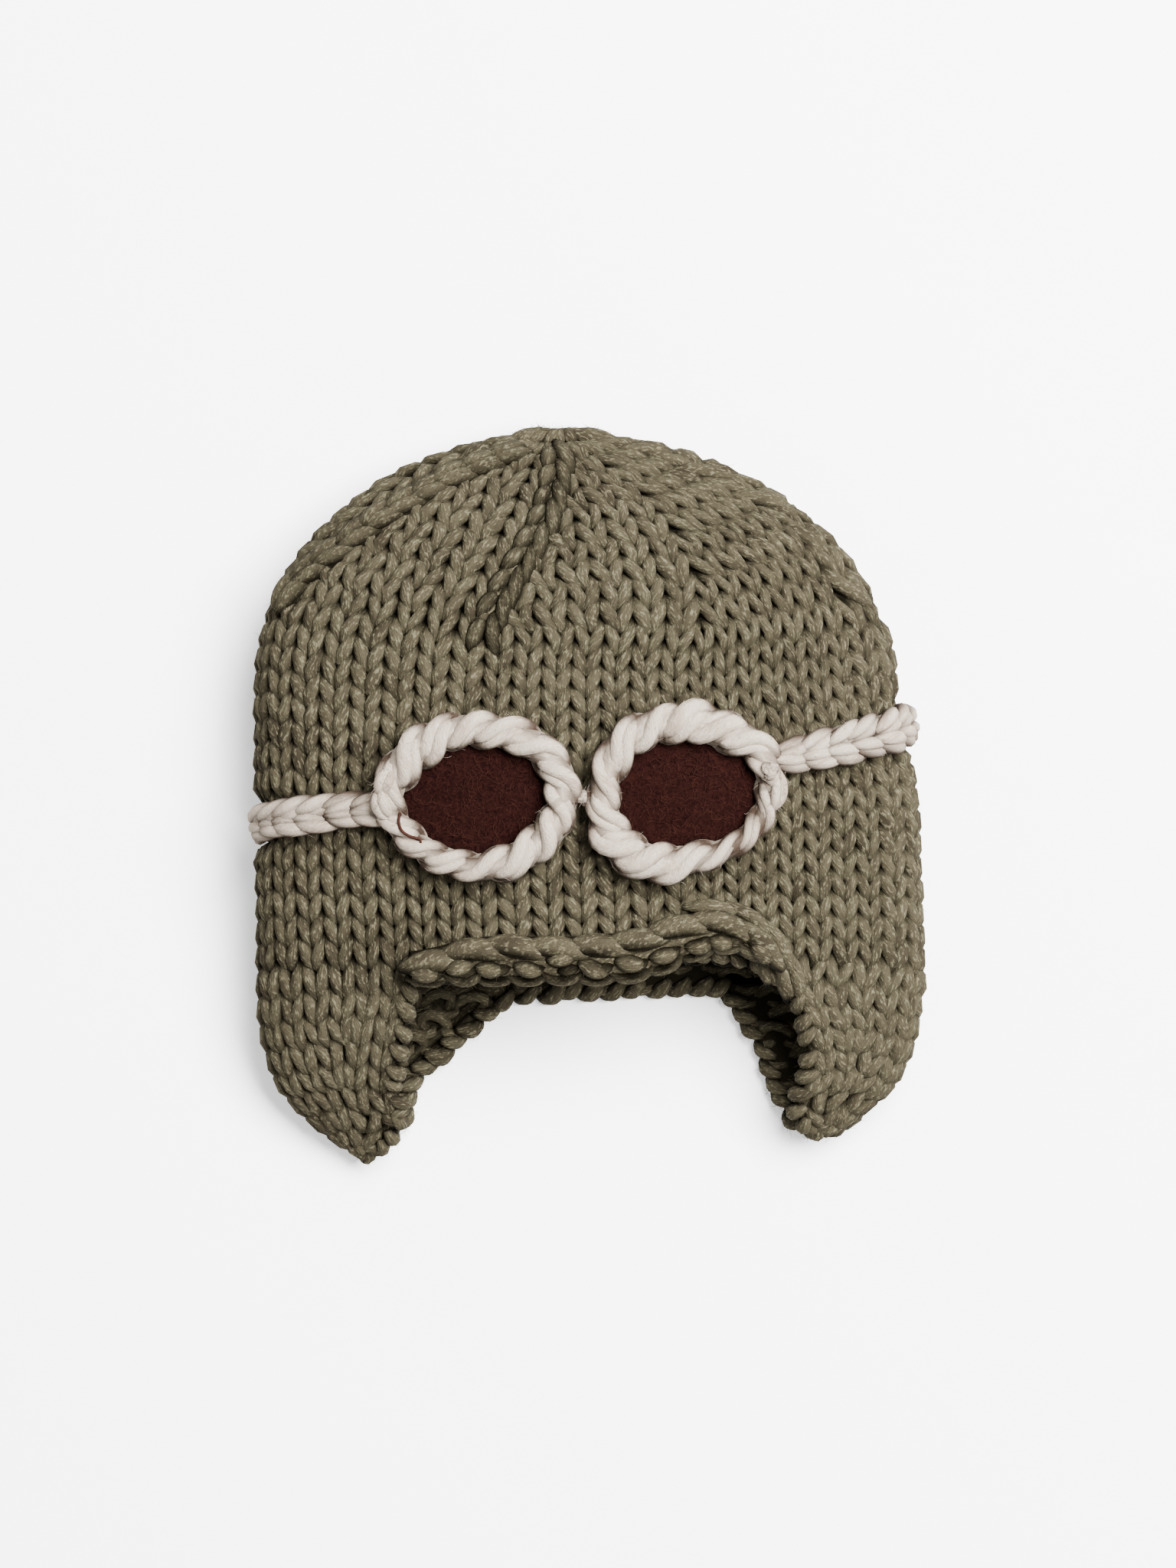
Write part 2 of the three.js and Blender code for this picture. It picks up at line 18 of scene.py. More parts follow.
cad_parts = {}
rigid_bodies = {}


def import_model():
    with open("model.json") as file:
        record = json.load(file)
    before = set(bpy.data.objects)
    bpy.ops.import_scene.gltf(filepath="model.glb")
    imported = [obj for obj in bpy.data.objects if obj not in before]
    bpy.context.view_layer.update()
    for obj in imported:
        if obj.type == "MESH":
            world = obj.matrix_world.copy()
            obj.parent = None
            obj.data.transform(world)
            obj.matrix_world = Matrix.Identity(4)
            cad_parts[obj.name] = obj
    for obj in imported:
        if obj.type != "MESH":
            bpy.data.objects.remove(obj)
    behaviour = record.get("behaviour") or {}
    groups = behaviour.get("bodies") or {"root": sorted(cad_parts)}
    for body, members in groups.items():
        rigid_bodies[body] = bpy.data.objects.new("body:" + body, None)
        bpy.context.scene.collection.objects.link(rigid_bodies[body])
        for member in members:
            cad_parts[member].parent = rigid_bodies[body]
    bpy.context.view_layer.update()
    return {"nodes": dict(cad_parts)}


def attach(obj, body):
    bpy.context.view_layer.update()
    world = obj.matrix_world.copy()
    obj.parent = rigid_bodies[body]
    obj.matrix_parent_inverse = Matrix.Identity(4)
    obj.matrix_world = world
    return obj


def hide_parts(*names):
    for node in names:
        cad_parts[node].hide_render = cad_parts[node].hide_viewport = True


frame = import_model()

MM = 0.001
scene = bpy.context.scene


def add_object(name, data):
    """A new object of the scene for a mesh, a curve, a camera or a light."""
    item = bpy.data.objects.new(name, data)
    scene.collection.objects.link(item)
    return item


print("frame nodes:", sorted(frame["nodes"]))

# %% [markdown]
# ## The camera
# The photograph looks straight down from far above, so nothing is foreshortened. A long lens
# more than two metres up gives the same flat view. One pixel of the photograph is 0.2 mm.

# %% Camera
PHOTO_HEIGHT = 2048
PIXEL = 0.2 * MM
VIEW_CENTER_Y = 2.9 * MM
FOCUS_HEIGHT = 30 * MM
CAMERA_DISTANCE = 2.2
SENSOR = 36

camera_data = bpy.data.cameras.new("photo_camera")
camera_data.sensor_fit = "VERTICAL"
camera_data.sensor_height = SENSOR
camera_data.lens = SENSOR * CAMERA_DISTANCE / (PHOTO_HEIGHT * PIXEL)
camera_data.clip_end = 20
camera = add_object("photo_camera", camera_data)
camera.location = (0, VIEW_CENTER_Y, FOCUS_HEIGHT + CAMERA_DISTANCE)
scene.camera = camera
print("camera lens:", round(camera_data.lens, 1), "mm")

# %% [markdown]
# ## The sizes of the bag
# The lying hat is a bag: its sections have a crowned upper layer, a flat lower layer and round
# folds at the sides, and they close in a dome at the crown. We repeat the sizes of the frame's
# shell here. The strap presses a groove into the knit, so its route belongs to the sizes too.

# %% Tables of the bag
DOME_START = 28.7
DOME_LENGTH = 67.0
AXIS_X = -7.6
AXIS_STRAIGHT_Y = -60.0
CROWN_THINNING = 0.38
CROWNING = 2.4
FLAT_SHARE = 0.6
TOP_OF_DOME = DOME_START + DOME_LENGTH * math.pi / 2

# Columns: y, left fold, right fold, full height, height of the side folds
SECTIONS = np.array([
    [-99.0, -55.0, 46.0, 12.8, 6.4],
    [-92.3, -66.6, 61.4, 14.6, 7.2],
    [-87.3, -72.8, 70.0, 18.5, 8.9],
    [-81.3, -78.8, 77.2, 23.0, 10.5],
    [-75.3, -82.8, 82.2, 27.0, 12.0],
    [-67.3, -85.4, 85.6, 31.5, 13.5],
    [-59.3, -86.8, 87.6, 35.0, 15.0],
    [-47.3, -87.4, 88.8, 38.5, 16.0],
    [-35.3, -87.4, 88.4, 42.0, 17.5],
    [-19.3, -87.8, 87.6, 44.5, 18.5],
    [-3.3, -87.8, 87.0, 46.0, 19.0],
    [12.7, -88.0, 84.6, 46.5, 19.0],
    [28.7, -87.8, 81.2, 46.0, 19.0],
])

# Strap on the hat. Columns: turn around the section in degrees, y, width, groove depth
STRAP_ROUTE = np.array([
    [129.6, -3.7, 10.6, 0.2],
    [143.0, -5.0, 12.0, 0.6],
    [163.0, -7.2, 12.0, 2.6],
    [180.0, -7.9, 12.0, 4.8],
    [202.0, -6.6, 12.0, 5.6],
    [235.0, -1.2, 12.0, 5.6],
    [270.0, 5.4, 12.0, 5.6],
    [305.0, 12.2, 12.0, 5.6],
    [338.0, 17.4, 12.4, 5.6],
    [360.0, 18.6, 13.0, 2.9],
    [377.0, 17.2, 13.6, 1.6],
    [397.0, 13.4, 13.4, 0.6],
    [409.6, 10.0, 11.0, 0.2],
])
# The groove is full up to the first distance from the strap's middle and ends at the second
GROOVE_FLANK = (5.0, 8.0)
GROOVE_RUN_OUT = 8
print("sections:", len(SECTIONS), "dome ends at rise", round(TOP_OF_DOME, 1))

# %% [markdown]
# ## Smooth values from short tables
# A table with a few rows is easy to read and to change. Between its rows we need smooth values,
# or the knit would show a kink at each row. A cubic curve through the rows gives them.

# %% Table readers
def smooth_table(keys, values, at):
    """Smooth value between the rows of a table whose keys rise."""
    last = len(keys) - 1
    before = np.maximum(np.arange(last + 1) - 1, 0)
    after = np.minimum(np.arange(last + 1) + 1, last)
    slopes = (values[after] - values[before]) / (keys[after] - keys[before])
    at = np.clip(at, keys[0], keys[-1])
    i = np.clip(np.searchsorted(keys, at) - 1, 0, last - 1)
    span = keys[i + 1] - keys[i]
    t = (at - keys[i]) / span
    bend = t * t * (3 - 2 * t)
    tangents = span * slopes[i] * t * (1 - t) ** 2 - span * slopes[i + 1] * t * t * (1 - t)
    return values[i] * (1 - bend) + values[i + 1] * bend + tangents


def column_at(table, column, at):
    """Smooth value of one column of a table, by its first column."""
    return smooth_table(table[:, 0], table[:, column], at)


def smooth_step(start, end, at):
    t = np.clip((at - start) / (end - start), 0, 1)
    return t * t * (3 - 2 * t)


def travel(points):
    """Length along a row of points, from 0 at the first one."""
    steps = np.linalg.norm(np.diff(points, axis=0), axis=1)
    return np.concatenate([[0], np.cumsum(steps)])


def unzip(pairs):
    """The first and the second values of many pairs, as two arrays."""
    return tuple(np.array(values) for values in zip(*pairs))


print("folds at the strap:", [round(float(column_at(SECTIONS, k, 0.0)), 1) for k in (1, 2)])

# %% [markdown]
# ## The shape that the knit follows
# The bag becomes a function of two numbers, an angle around it and a rise along it, so that each
# stitch can ask where it lies.

# %% Shape of the bag
def bag_shape(angle, rise):
    """Point of the smooth bag. Rise is y on the body, then goes on along the dome's curve."""
    level = np.minimum(rise, DOME_START)
    lift = np.clip((rise - DOME_START) / DOME_LENGTH, 0, math.pi / 2)
    thinning = 1 - CROWN_THINNING * np.sin(lift) ** 2
    left, right, top, fold = (column_at(SECTIONS, k, level) for k in (1, 2, 3, 4))
    top, fold = top * thinning, fold * thinning
    axis = AXIS_X * smooth_step(AXIS_STRAIGHT_Y, DOME_START, level)
    across = np.cos(angle)
    side = np.where(across < 0, axis - left, right - axis)
    x = axis + side * across * np.cos(lift)
    distance = np.minimum(np.hypot(across * np.cos(lift), np.sin(lift)), 1)
    front = fold + (top - fold) * np.sqrt(1 - distance ** CROWNING)
    edge = np.clip((distance - FLAT_SHARE) / (1 - FLAT_SHARE), 0, 1)
    back = fold * (1 - np.sqrt(1 - edge ** 2))
    z = np.where(np.sin(angle) >= 0, front, back)
    y = level + DOME_LENGTH * np.sin(lift)
    return np.stack(np.broadcast_arrays(x, y, z), axis=-1)


def strap_groove(angle, y):
    """How deep the strap presses into the knit."""
    turn = np.degrees(angle) % 360
    first, last = STRAP_ROUTE[0, 0], STRAP_ROUTE[-1, 0]
    turn = np.where(turn < (first + last - 360) / 2, turn + 360, turn)
    inside = (smooth_step(first - GROOVE_RUN_OUT, first, turn)
              * (1 - smooth_step(last, last + GROOVE_RUN_OUT, turn)))
    flank = 1 - smooth_step(*GROOVE_FLANK, np.abs(y - column_at(STRAP_ROUTE, 1, turn)))
    return inside * flank * column_at(STRAP_ROUTE, 3, turn)


print("top of the front at y 0:", np.round(bag_shape(math.pi / 2, 0.0), 1), "mm")

# %% [markdown]
# ## Even steps around the hat
# Equal angles would squeeze the stitches at the folds. We measure each section once and keep a
# table, so that a share of its length, from 0 to 1, gives the angle. Share 0 is the right fold,
# then it runs over the front to the left fold and back underneath.

# %% Share table
RISES = np.linspace(SECTIONS[0, 0], TOP_OF_DOME - 0.4, 120)
ANGLES = np.linspace(0, 2 * math.pi, 721)
SHARES = np.linspace(0, 1, 721)

section_points = bag_shape(ANGLES[None, :], RISES[:, None])
step_lengths = np.linalg.norm(np.diff(section_points, axis=1), axis=-1)
travelled = np.concatenate([np.zeros((len(RISES), 1)), np.cumsum(step_lengths, axis=1)], axis=1)
share_of_angle = travelled / travelled[:, -1:]
angle_of_share = np.array([np.interp(SHARES, row, ANGLES) for row in share_of_angle])


def read_grid(grid, column, rise):
    """Value of a grid at a share or angle (0 to 1 of its width) and at a rise."""
    turns = np.floor(column)
    place = (column - turns) * (grid.shape[1] - 1)
    i = np.clip(place.astype(int), 0, grid.shape[1] - 2)
    t = place - i
    height = np.clip((rise - RISES[0]) / (RISES[1] - RISES[0]), 0, len(RISES) - 1.001)
    j = height.astype(int)
    s = height - j
    low = grid[j, i] * (1 - t) + grid[j, i + 1] * t
    high = grid[j + 1, i] * (1 - t) + grid[j + 1, i + 1] * t
    return low * (1 - s) + high * s + turns * grid[0, -1]


print("round the body:", round(float(travelled[60, -1])), "mm")

# %% [markdown]
# ## Finding a place on the knit
# Stitches ask for a point by share, rise and depth below the outer face. Places that were read
# off the photograph are x and y, so a second function turns those into share and rise.

# %% Places on the knit
LOWEST_RISE, HIGHEST_RISE = -98.5, TOP_OF_DOME - 0.6
# Small steps that measure the direction of the surface
RISE_STEP, SHARE_STEP = 0.5, 0.003


def surface(share, rise, depth):
    """Point of the knit at a depth below its outer face in mm, and the outward direction."""
    share, rise, depth = np.broadcast_arrays(*(np.asarray(v, float) for v in (share, rise, depth)))
    rise = np.clip(rise, LOWEST_RISE, HIGHEST_RISE)

    def place(s, r):
        return bag_shape(read_grid(angle_of_share, s, r), r)

    point = place(share, rise)
    along = place(share, rise + RISE_STEP) - place(share, rise - RISE_STEP)
    around = place(share + SHARE_STEP, rise) - place(share - SHARE_STEP, rise)
    normal = np.cross(along, around)
    normal /= np.linalg.norm(normal, axis=-1, keepdims=True) + 1e-9
    groove = strap_groove(read_grid(angle_of_share, share, rise), point[..., 1])
    return point - normal * (depth + groove)[..., None], normal


def on_layer(x, y, layer):
    """Share and rise of a point at x, y on the front layer, 1, or on the back layer, -1."""
    lift = math.asin(min(max((y - DOME_START) / DOME_LENGTH, 0), 0.9999))
    rise = y if y < DOME_START else DOME_START + DOME_LENGTH * lift
    level = min(y, DOME_START)
    left, right = (column_at(SECTIONS, k, level) for k in (1, 2))
    axis = AXIS_X * smooth_step(AXIS_STRAIGHT_Y, DOME_START, level)
    side = (axis - left) if x < axis else (right - axis)
    angle = math.acos(min(max((x - axis) / (side * math.cos(lift)), -1), 1))
    angle = angle if layer > 0 else 2 * math.pi - angle
    return float(read_grid(share_of_angle, np.array(angle / (2 * math.pi)), np.array(rise))), rise


def on_front(x, y):
    return on_layer(x, y, 1)


print("middle of the front:", np.round(on_front(0, 0), 2))

# %% [markdown]
# ## The net of rows and columns
# The hat has eight wedges of columns, seven in each front wedge and five in each back one.
# Fourteen rounds make the straight body, then the rounds lose stitches at the wedge edges until
# the crown is closed. Eight guide lines follow those edges, and the stitches are spread between.
# The four lines on the front follow the photograph.

# %% Tables of the wedges
BODY_ROUNDS = 14
CROWN_ROUNDS = 12
ROUNDS = BODY_ROUNDS + CROWN_ROUNDS
WEDGE_COLUMNS = [7, 7, 7, 5, 5, 5, 5, 5]
WEDGES = len(WEDGE_COLUMNS)
# Share of its stitches that a wedge still has, round by round, from the start of the crown
CROWN_SHARES = [1, 1, 0.86, 0.86, 0.72, 0.72, 0.6, 0.6, 0.44, 0.44, 0.3, 0.3, 0.15]

# Guide lines seen on the front, from the start of the crown to the apex: x and y
FRONT_GUIDES = {
    "d": [(68.5, 40.0), (64.5, 55.0), (54.4, 69.7), (43.0, 78.3), (26.4, 85.7), (12.4, 91.7),
          (-4.0, 95.0)],
    "c": [(26.0, 34.5), (29.4, 49.1), (27.8, 57.9), (24.2, 64.9), (20.8, 71.9), (16.0, 78.3),
          (10.2, 83.0), (3.8, 87.5), (-1.6, 92.0), (-6.0, 95.0)],
    "b": [(-27.2, 36.0), (-25.6, 44.1), (-22.4, 50.5), (-18.4, 57.3), (-14.2, 64.5),
          (-10.4, 72.1), (-8.0, 80.0), (-7.0, 87.0), (-7.6, 95.0)],
    "a": [(-80.5, 50.0), (-75.2, 58.0), (-65.4, 64.9), (-56.8, 71.7), (-45.6, 78.5),
          (-35.6, 83.7), (-22.8, 89.1), (-14.6, 92.5), (-10.0, 95.0)],
}
# Places of the same guides at the lower rim, x and y on the front
FRONT_FEET = {"d": (77.5, -41.0), "c": (28.6, -38.5), "b": (-31.6, -41.0), "a": (-82.5, -41.5)}
# Guides on the back: angle in degrees, start of the crown and foot
BACK_GUIDES = {"h": (218, 46, -46), "g": (253, 38, -46), "f": (286, 38, -46), "e": (322, 44, -46)}
BACK_GUIDES_STOP = 3
print("wedges:", WEDGES, "columns:", sum(WEDGE_COLUMNS), "rounds:", ROUNDS)

# %% [markdown]
# ## Guide lines
# Each guide line is cut into equal lengths, one for each round, because rounds of knitting are
# equally high wherever the surface leads them.

# %% Guide lines of the wedges
def spread_marks(points, count):
    """Cut a line of shares and rises into equal lengths on the surface."""
    shares, rises = unzip(points)
    fine = np.linspace(0, 1, 400)
    key = np.linspace(0, 1, len(points))
    fine_share = np.interp(fine, key, shares)
    fine_rise = np.interp(fine, key, rises)
    length = travel(surface(fine_share, fine_rise, 0)[0])
    wanted = np.linspace(0, length[-1], count + 1)
    return np.interp(wanted, length, fine_share), np.interp(wanted, length, fine_rise)


def guide_line(foot, crown_points):
    """Share and rise of a guide at each round, from the rim to the apex."""
    start = crown_points[0]
    t = np.linspace(0, 1, BODY_ROUNDS + 1)
    bend = smooth_step(0.3, 1.0, t)
    body_share = foot[0] + (start[0] - foot[0]) * bend
    body_rise = foot[1] + (start[1] - foot[1]) * t
    crown_share, crown_rise = spread_marks(crown_points, CROWN_ROUNDS)
    return (np.concatenate([body_share, crown_share[1:]]),
            np.concatenate([body_rise, crown_rise[1:]]))


def on_back(degrees, rise):
    turn = np.array(degrees / 360)
    return float(read_grid(share_of_angle, turn, np.array(float(rise)))), rise


guides = [guide_line(on_front(*FRONT_FEET[name]), [on_front(x, y) for x, y in points])
          for name, points in FRONT_GUIDES.items()]
for degrees, start_rise, foot_rise in BACK_GUIDES.values():
    crown = [on_back(degrees, rise)
             for rise in np.linspace(start_rise, TOP_OF_DOME - BACK_GUIDES_STOP, 9)]
    guides.append(guide_line(on_back(degrees, foot_rise), crown))
guides.append((guides[0][0] + 1, guides[0][1]))
print("guide feet:", [round(float(g[0][0]), 3) for g in guides])

# %% [markdown]
# ## One stitch
# A knitted stitch is a loop: the yarn runs along the foot, up one leg, over the head at the
# back, down the other leg and on to the next foot. A curve with a few waves gives that path.
# Each lower end lies over the loop below it, which makes the columns of nested V shapes.
# The yarn is thick in the legs and is pinched where loops cross. No two hand-made stitches are
# alike, so each gets small chance changes. The numbers are seeded, and so always the same.

# %% Stitch path
STITCH_POINTS = 14
ROUND_RISE = 5.8
LEG_LEAN = 0.255
LEG_REACH = 1.02
LEG_RISE = 1.7
LOWER_END_OVER = 0.8
YARN_RADIUS = 2.1
PINCH = 0.34
MIDDLE_DEPTH = 3.3
# How uneven the lean, the reach, the rise and the thickness of the stitches are
UNEVEN = (0.012, 0.03, 0.16, 0.04)
random = np.random.default_rng(7)


def stitch_wave(count, pitch_scale=1.0):
    """Column, row, depth and radius along some stitches of one row."""
    t = np.arange(count * STITCH_POINTS) * 2 * math.pi / STITCH_POINTS
    stitch = (t // (2 * math.pi)).astype(int)
    own = (random.normal(size=(count, 4)) * UNEVEN)[stitch]
    column = t / (2 * math.pi) + (LEG_LEAN + own[:, 0]) * np.sin(2 * t)
    row = -(LEG_REACH + own[:, 1]) * np.cos(t)
    height = -(LEG_RISE + own[:, 2]) * np.cos(2 * t) + LOWER_END_OVER * np.cos(t)
    radius = YARN_RADIUS * pitch_scale * (1 - PINCH * np.cos(t) ** 2) * (1 + own[:, 3])
    return column, row, MIDDLE_DEPTH - height, radius


print("stitch height:", round(2 * LEG_REACH * ROUND_RISE, 1), "mm")

# %% [markdown]
# ## Rounds of the body and the crown
# Each round is one closed loop of yarn through all eight wedges. Within a wedge the columns are
# counted from its right edge and run beside it, so they end one by one on its left edge, just
# as the decreases of the real crown do.

# %% Knit the rounds
column_counts = [
    [full] * BODY_ROUNDS + [max(1, round(full * share)) for share in CROWN_SHARES]
    for full in WEDGE_COLUMNS
]
round_keys = np.arange(ROUNDS + 1)
FULL_WIDTH = 8.4


def between(low, high, keys, row, t):
    """Share and rise at a row, part t of the way from one guide line to the next."""
    return tuple(np.interp(row, keys, a) * (1 - t) + np.interp(row, keys, b) * t
                 for a, b in zip(low, high))


def in_wedge(wedge, column, row):
    """Share and rise at a column, counted from the right edge of a wedge, and a row."""
    count = np.interp(row, round_keys, column_counts[wedge])
    share, rise = between(guides[wedge], guides[wedge + 1], round_keys, row,
                          np.clip(column / count, 0, 1))
    return share, rise + np.minimum(row, 0) * ROUND_RISE


def stitch_width(wedge, row):
    """Mean width in mm of the stitches of one row of a wedge."""
    count = column_counts[wedge][row]
    points = surface(*in_wedge(wedge, np.linspace(0, count, 30), row), 0)[0]
    return np.linalg.norm(np.diff(points, axis=0), axis=1).sum() / count


def join_parts(parts, closed):
    """One strand from pieces of points, radii, outward directions and depths."""
    return tuple(np.concatenate(values) for values in zip(*parts)) + (closed,)


def knit_round(row):
    parts = []
    for wedge in range(WEDGES):
        thick = np.clip(stitch_width(wedge, row) / FULL_WIDTH, 0.7, 1.05) ** 0.8
        column, up, depth, radius = stitch_wave(column_counts[wedge][row], thick)
        share, rise = in_wedge(wedge, column, row + up)
        point, normal = surface(share, rise, depth)
        parts.append((point, radius, normal, depth))
    return join_parts(parts, True)


rounds = [knit_round(row) for row in range(ROUNDS)]
print("rounds:", len(rounds), "stitches:", sum(sum(counts[:ROUNDS]) for counts in column_counts))

# %% [markdown]
# ## The lines of the ear flaps
# A flap goes on from the body columns and narrows to its tip. Its front edge keeps two columns
# beside it, and the columns towards the side fold end on a slanting seam. On the back the
# columns run beside the fold and end on the sloping nape edge.

# %% Tables of the flaps
FLAP_ROWS = 9
# Front edge, seam and back edge of each flap below the body: x and y
FLAPS = {
    "left": {
        "front_edge": [(-47.4, -50.5), (-49.2, -59.0), (-51.0, -69.0), (-51.4, -76.7),
                       (-50.4, -84.0), (-53.5, -91.0), (-59.6, -95.4)],
        "seam": [(-60.4, -54.0), (-63.0, -64.0), (-64.6, -76.0), (-63.0, -86.0),
                 (-61.0, -95.6)],
        "fold": [(-86.2, -52.0), (-85.6, -62.0), (-82.4, -74.0), (-76.5, -83.0),
                 (-69.0, -90.0), (-62.4, -95.8)],
        "back_edge": [(-24.8, -55.0), (-30.6, -59.6), (-38.8, -67.2), (-45.0, -72.4),
                      (-48.8, -79.0), (-51.0, -88.0), (-60.0, -95.6)],
    },
    "right": {
        "front_edge": [(53.0, -48.5), (57.4, -56.0), (59.0, -66.9), (59.4, -73.0),
                       (57.4, -79.0), (55.6, -84.0), (58.0, -88.0), (61.6, -89.3)],
        "seam": [(67.6, -52.0), (70.0, -64.0), (70.4, -74.0), (67.4, -82.0), (63.0, -89.4)],
        "fold": [(87.2, -52.0), (86.4, -62.0), (82.0, -74.0), (76.6, -81.5), (70.0, -86.6),
                 (63.6, -89.6)],
        "back_edge": [(37.0, -51.0), (41.6, -57.0), (46.2, -66.0), (50.0, -75.5),
                      (53.6, -83.4), (57.4, -87.8), (62.0, -89.4)],
    },
}
# Where each line leaves the body: wedge and column
FLAP_STARTS = {
    "left": {"front_edge": (2, 2), "seam": (2, 4), "fold": (3, 1), "back_edge": (5, 0)},
    "right": {"front_edge": (8, 3), "seam": (8, 1), "fold": (7, 3), "back_edge": (6, 1)},
}
# Stitches between the lines at each flap row, from the body to the tip
EDGE_COLUMNS = [2, 2, 2, 2, 2, 2, 2, 1, 1, 1]
SEAM_COLUMNS = {"left": [4, 4, 4, 4, 3, 3, 2, 2, 1, 1], "right": [3, 3, 3, 3, 3, 2, 2, 1, 1, 1]}
NAPE_COLUMNS = {"left": [9, 8, 8, 7, 6, 5, 4, 3, 2, 1], "right": [7, 7, 6, 5, 5, 4, 3, 2, 1, 1]}
print("flap lines:", {side: list(lines) for side, lines in FLAPS.items()})

# %% [markdown]
# ## Ear flaps
# A row of a flap crosses three zones between its four lines, and in each zone the stitches are
# counted from the line that they run beside. The right flap is crossed the other way round.

# %% Knit the flaps
flap_keys = np.arange(FLAP_ROWS + 1)


def body_boundary(wedge, column):
    """Share and rise of a column's edge at the lowest round."""
    share, rise = in_wedge(wedge % WEDGES, np.array(float(column)), np.array(0.0))
    return float(share) + wedge // WEDGES, float(rise)


def flap_guides(side):
    """The lines of a flap at each row, in the order in which a row crosses them."""
    lines = []
    for name, points in FLAPS[side].items():
        layer = -1 if name == "back_edge" else 1
        turns = 1 if side == "right" and layer > 0 else 0
        places = [on_layer(x, y, layer) for x, y in points]
        places = [(share + turns, rise) for share, rise in places]
        lines.append(spread_marks([body_boundary(*FLAP_STARTS[side][name])] + places, FLAP_ROWS))
    return lines if side == "left" else lines[::-1]


def flap_zone(low, high, counts, from_low, row):
    """The stitches of one row in one zone, counted from its low or its high line."""
    column, up, depth, radius = stitch_wave(counts[row])
    place = np.clip(row - up, 0, FLAP_ROWS)
    count = np.interp(place, flap_keys, counts)
    if from_low:
        t = np.clip(column / count, 0, 1)
    else:
        t = 1 - np.clip((counts[row] - column) / count, 0, 1)
    share, rise = between(low, high, flap_keys, place, t)
    point, normal = surface(share, rise, depth)
    return point, radius, normal, depth


def knit_flap_row(side, row):
    lines = flap_lines[side]
    zones, from_low = [EDGE_COLUMNS, SEAM_COLUMNS[side], NAPE_COLUMNS[side]], (0, 0, 1)
    if side == "right":
        zones, from_low = zones[::-1], (0, 1, 1)
    return join_parts([flap_zone(lines[k], lines[k + 1], zones[k], from_low[k], row)
                       for k in range(3)], False)


flap_lines = {side: flap_guides(side) for side in FLAPS}
flap_rows = {side: [knit_flap_row(side, row) for row in range(1, FLAP_ROWS + 1)]
             for side in FLAPS}
print("flap rows:", {side: len(rows) for side, rows in flap_rows.items()})

# %% [markdown]
# ## From paths to strands
# A curve with a round bevel is the plain way to make yarn: one spline a strand, thicker or
# thinner at each point. The open ends of the strands are closed in the finished mesh.

# %% Strands
YARN_SIDES = 8


def strand_curve(name, strands, sides):
    """A curve of round strands. A strand is its points and radii in mm, its outward
    directions, its depths below the outer face, and whether it is closed."""
    curve = bpy.data.curves.new(name + "_path", "CURVE")
    curve.dimensions = "3D"
    curve.bevel_depth = MM
    curve.bevel_resolution = sides // 2 - 2
    for points, radii, _, _, closed in strands:
        spline = curve.splines.new("POLY")
        spline.points.add(len(points) - 1)
        rows = np.concatenate([points * MM, np.ones((len(points), 1))], axis=1)
        spline.points.foreach_set("co", rows.ravel())
        spline.points.foreach_set("radius", np.asarray(radii, float))
        spline.use_cyclic_u = closed
        spline.use_smooth = True
    return curve


def smooth_mesh(bm, mesh):
    """Put a bmesh into a mesh, with smooth faces."""
    for face in bm.faces:
        face.smooth = True
    bm.to_mesh(mesh)
    bm.free()
    return mesh


def close_ends(mesh, sides):
    bm = bmesh.new()
    bm.from_mesh(mesh)
    open_edges = [edge for edge in bm.edges if edge.is_boundary]
    bmesh.ops.holes_fill(bm, edges=open_edges, sides=sides)
    smooth_mesh(bm, mesh)


print("a strand of yarn has", YARN_SIDES, "sides")

# %% [markdown]
# ## Fibre coordinates
# The wool's streaks have to follow every loop, so each point of the yarn knows how far along its
# strand it lies, and where around it. Each strand also gets a tone of its own, and each point a
# painted shade that is dark between the loops, where shade falls.

# %% Fibre coordinates
TWIST_PER_MM = 0.12
STRAND_OFFSET = 37.0
FIBRE_RING = 2
# Depths in mm between which the painted shade of the knit sets in, and between which it ends again
DARK_OUTSIDE = (0.2, 2.3)
DARK_INSIDE = (3.6, 5.2)


def vertex_places(mesh):
    places = np.empty(len(mesh.vertices) * 3, np.float32)
    mesh.vertices.foreach_get("co", places)
    return places


def add_fibre_coordinates(mesh, strands, twist, sides):
    places = vertex_places(mesh).reshape(-1, sides, 3) / MM
    around = np.arange(sides) * 2 * math.pi / sides
    fibre, tone, painted_shade = [], [], []
    first = 0
    for index, (points, _, normals, depths, _) in enumerate(strands):
        rings = places[first:first + len(points)]
        first += len(points)
        height = np.einsum("rsk,rk->rs", rings - points[:, None], normals)
        below = depths[:, None] - height
        # Painted shade: dark where a point lies deep between the loops, light again on the inner
        # face
        painted_shade.append((smooth_step(*DARK_OUTSIDE, below)
                      * (1 - smooth_step(*DARK_INSIDE, below))).ravel())
        along = travel(points)
        angle = around[None, :] + twist * along[:, None]
        ring = np.stack([np.broadcast_to(along[:, None], angle.shape) + STRAND_OFFSET * index,
                         FIBRE_RING * np.cos(angle), FIBRE_RING * np.sin(angle)], axis=-1)
        fibre.append(ring.reshape(-1, 3))
        tone.append(np.full(ring.shape[0] * sides, random.uniform(0, 1)))
    layer = mesh.attributes.new("fibre", "FLOAT_VECTOR", "POINT")
    layer.data.foreach_set("vector", np.concatenate(fibre).ravel().astype(np.float32))
    # The painted shade goes into the attribute named depth
    for name, values in (("tone", tone), ("depth", painted_shade)):
        layer = mesh.attributes.new(name, "FLOAT", "POINT")
        layer.data.foreach_set("value", np.concatenate(values).astype(np.float32))


print("fibres turn", round(math.degrees(TWIST_PER_MM), 1), "degrees a mm")

# %% [markdown]
# ## Yarn
# Now a list of strands becomes one mesh. Where the soft yarn rests on the table its underside
# is pressed flat.

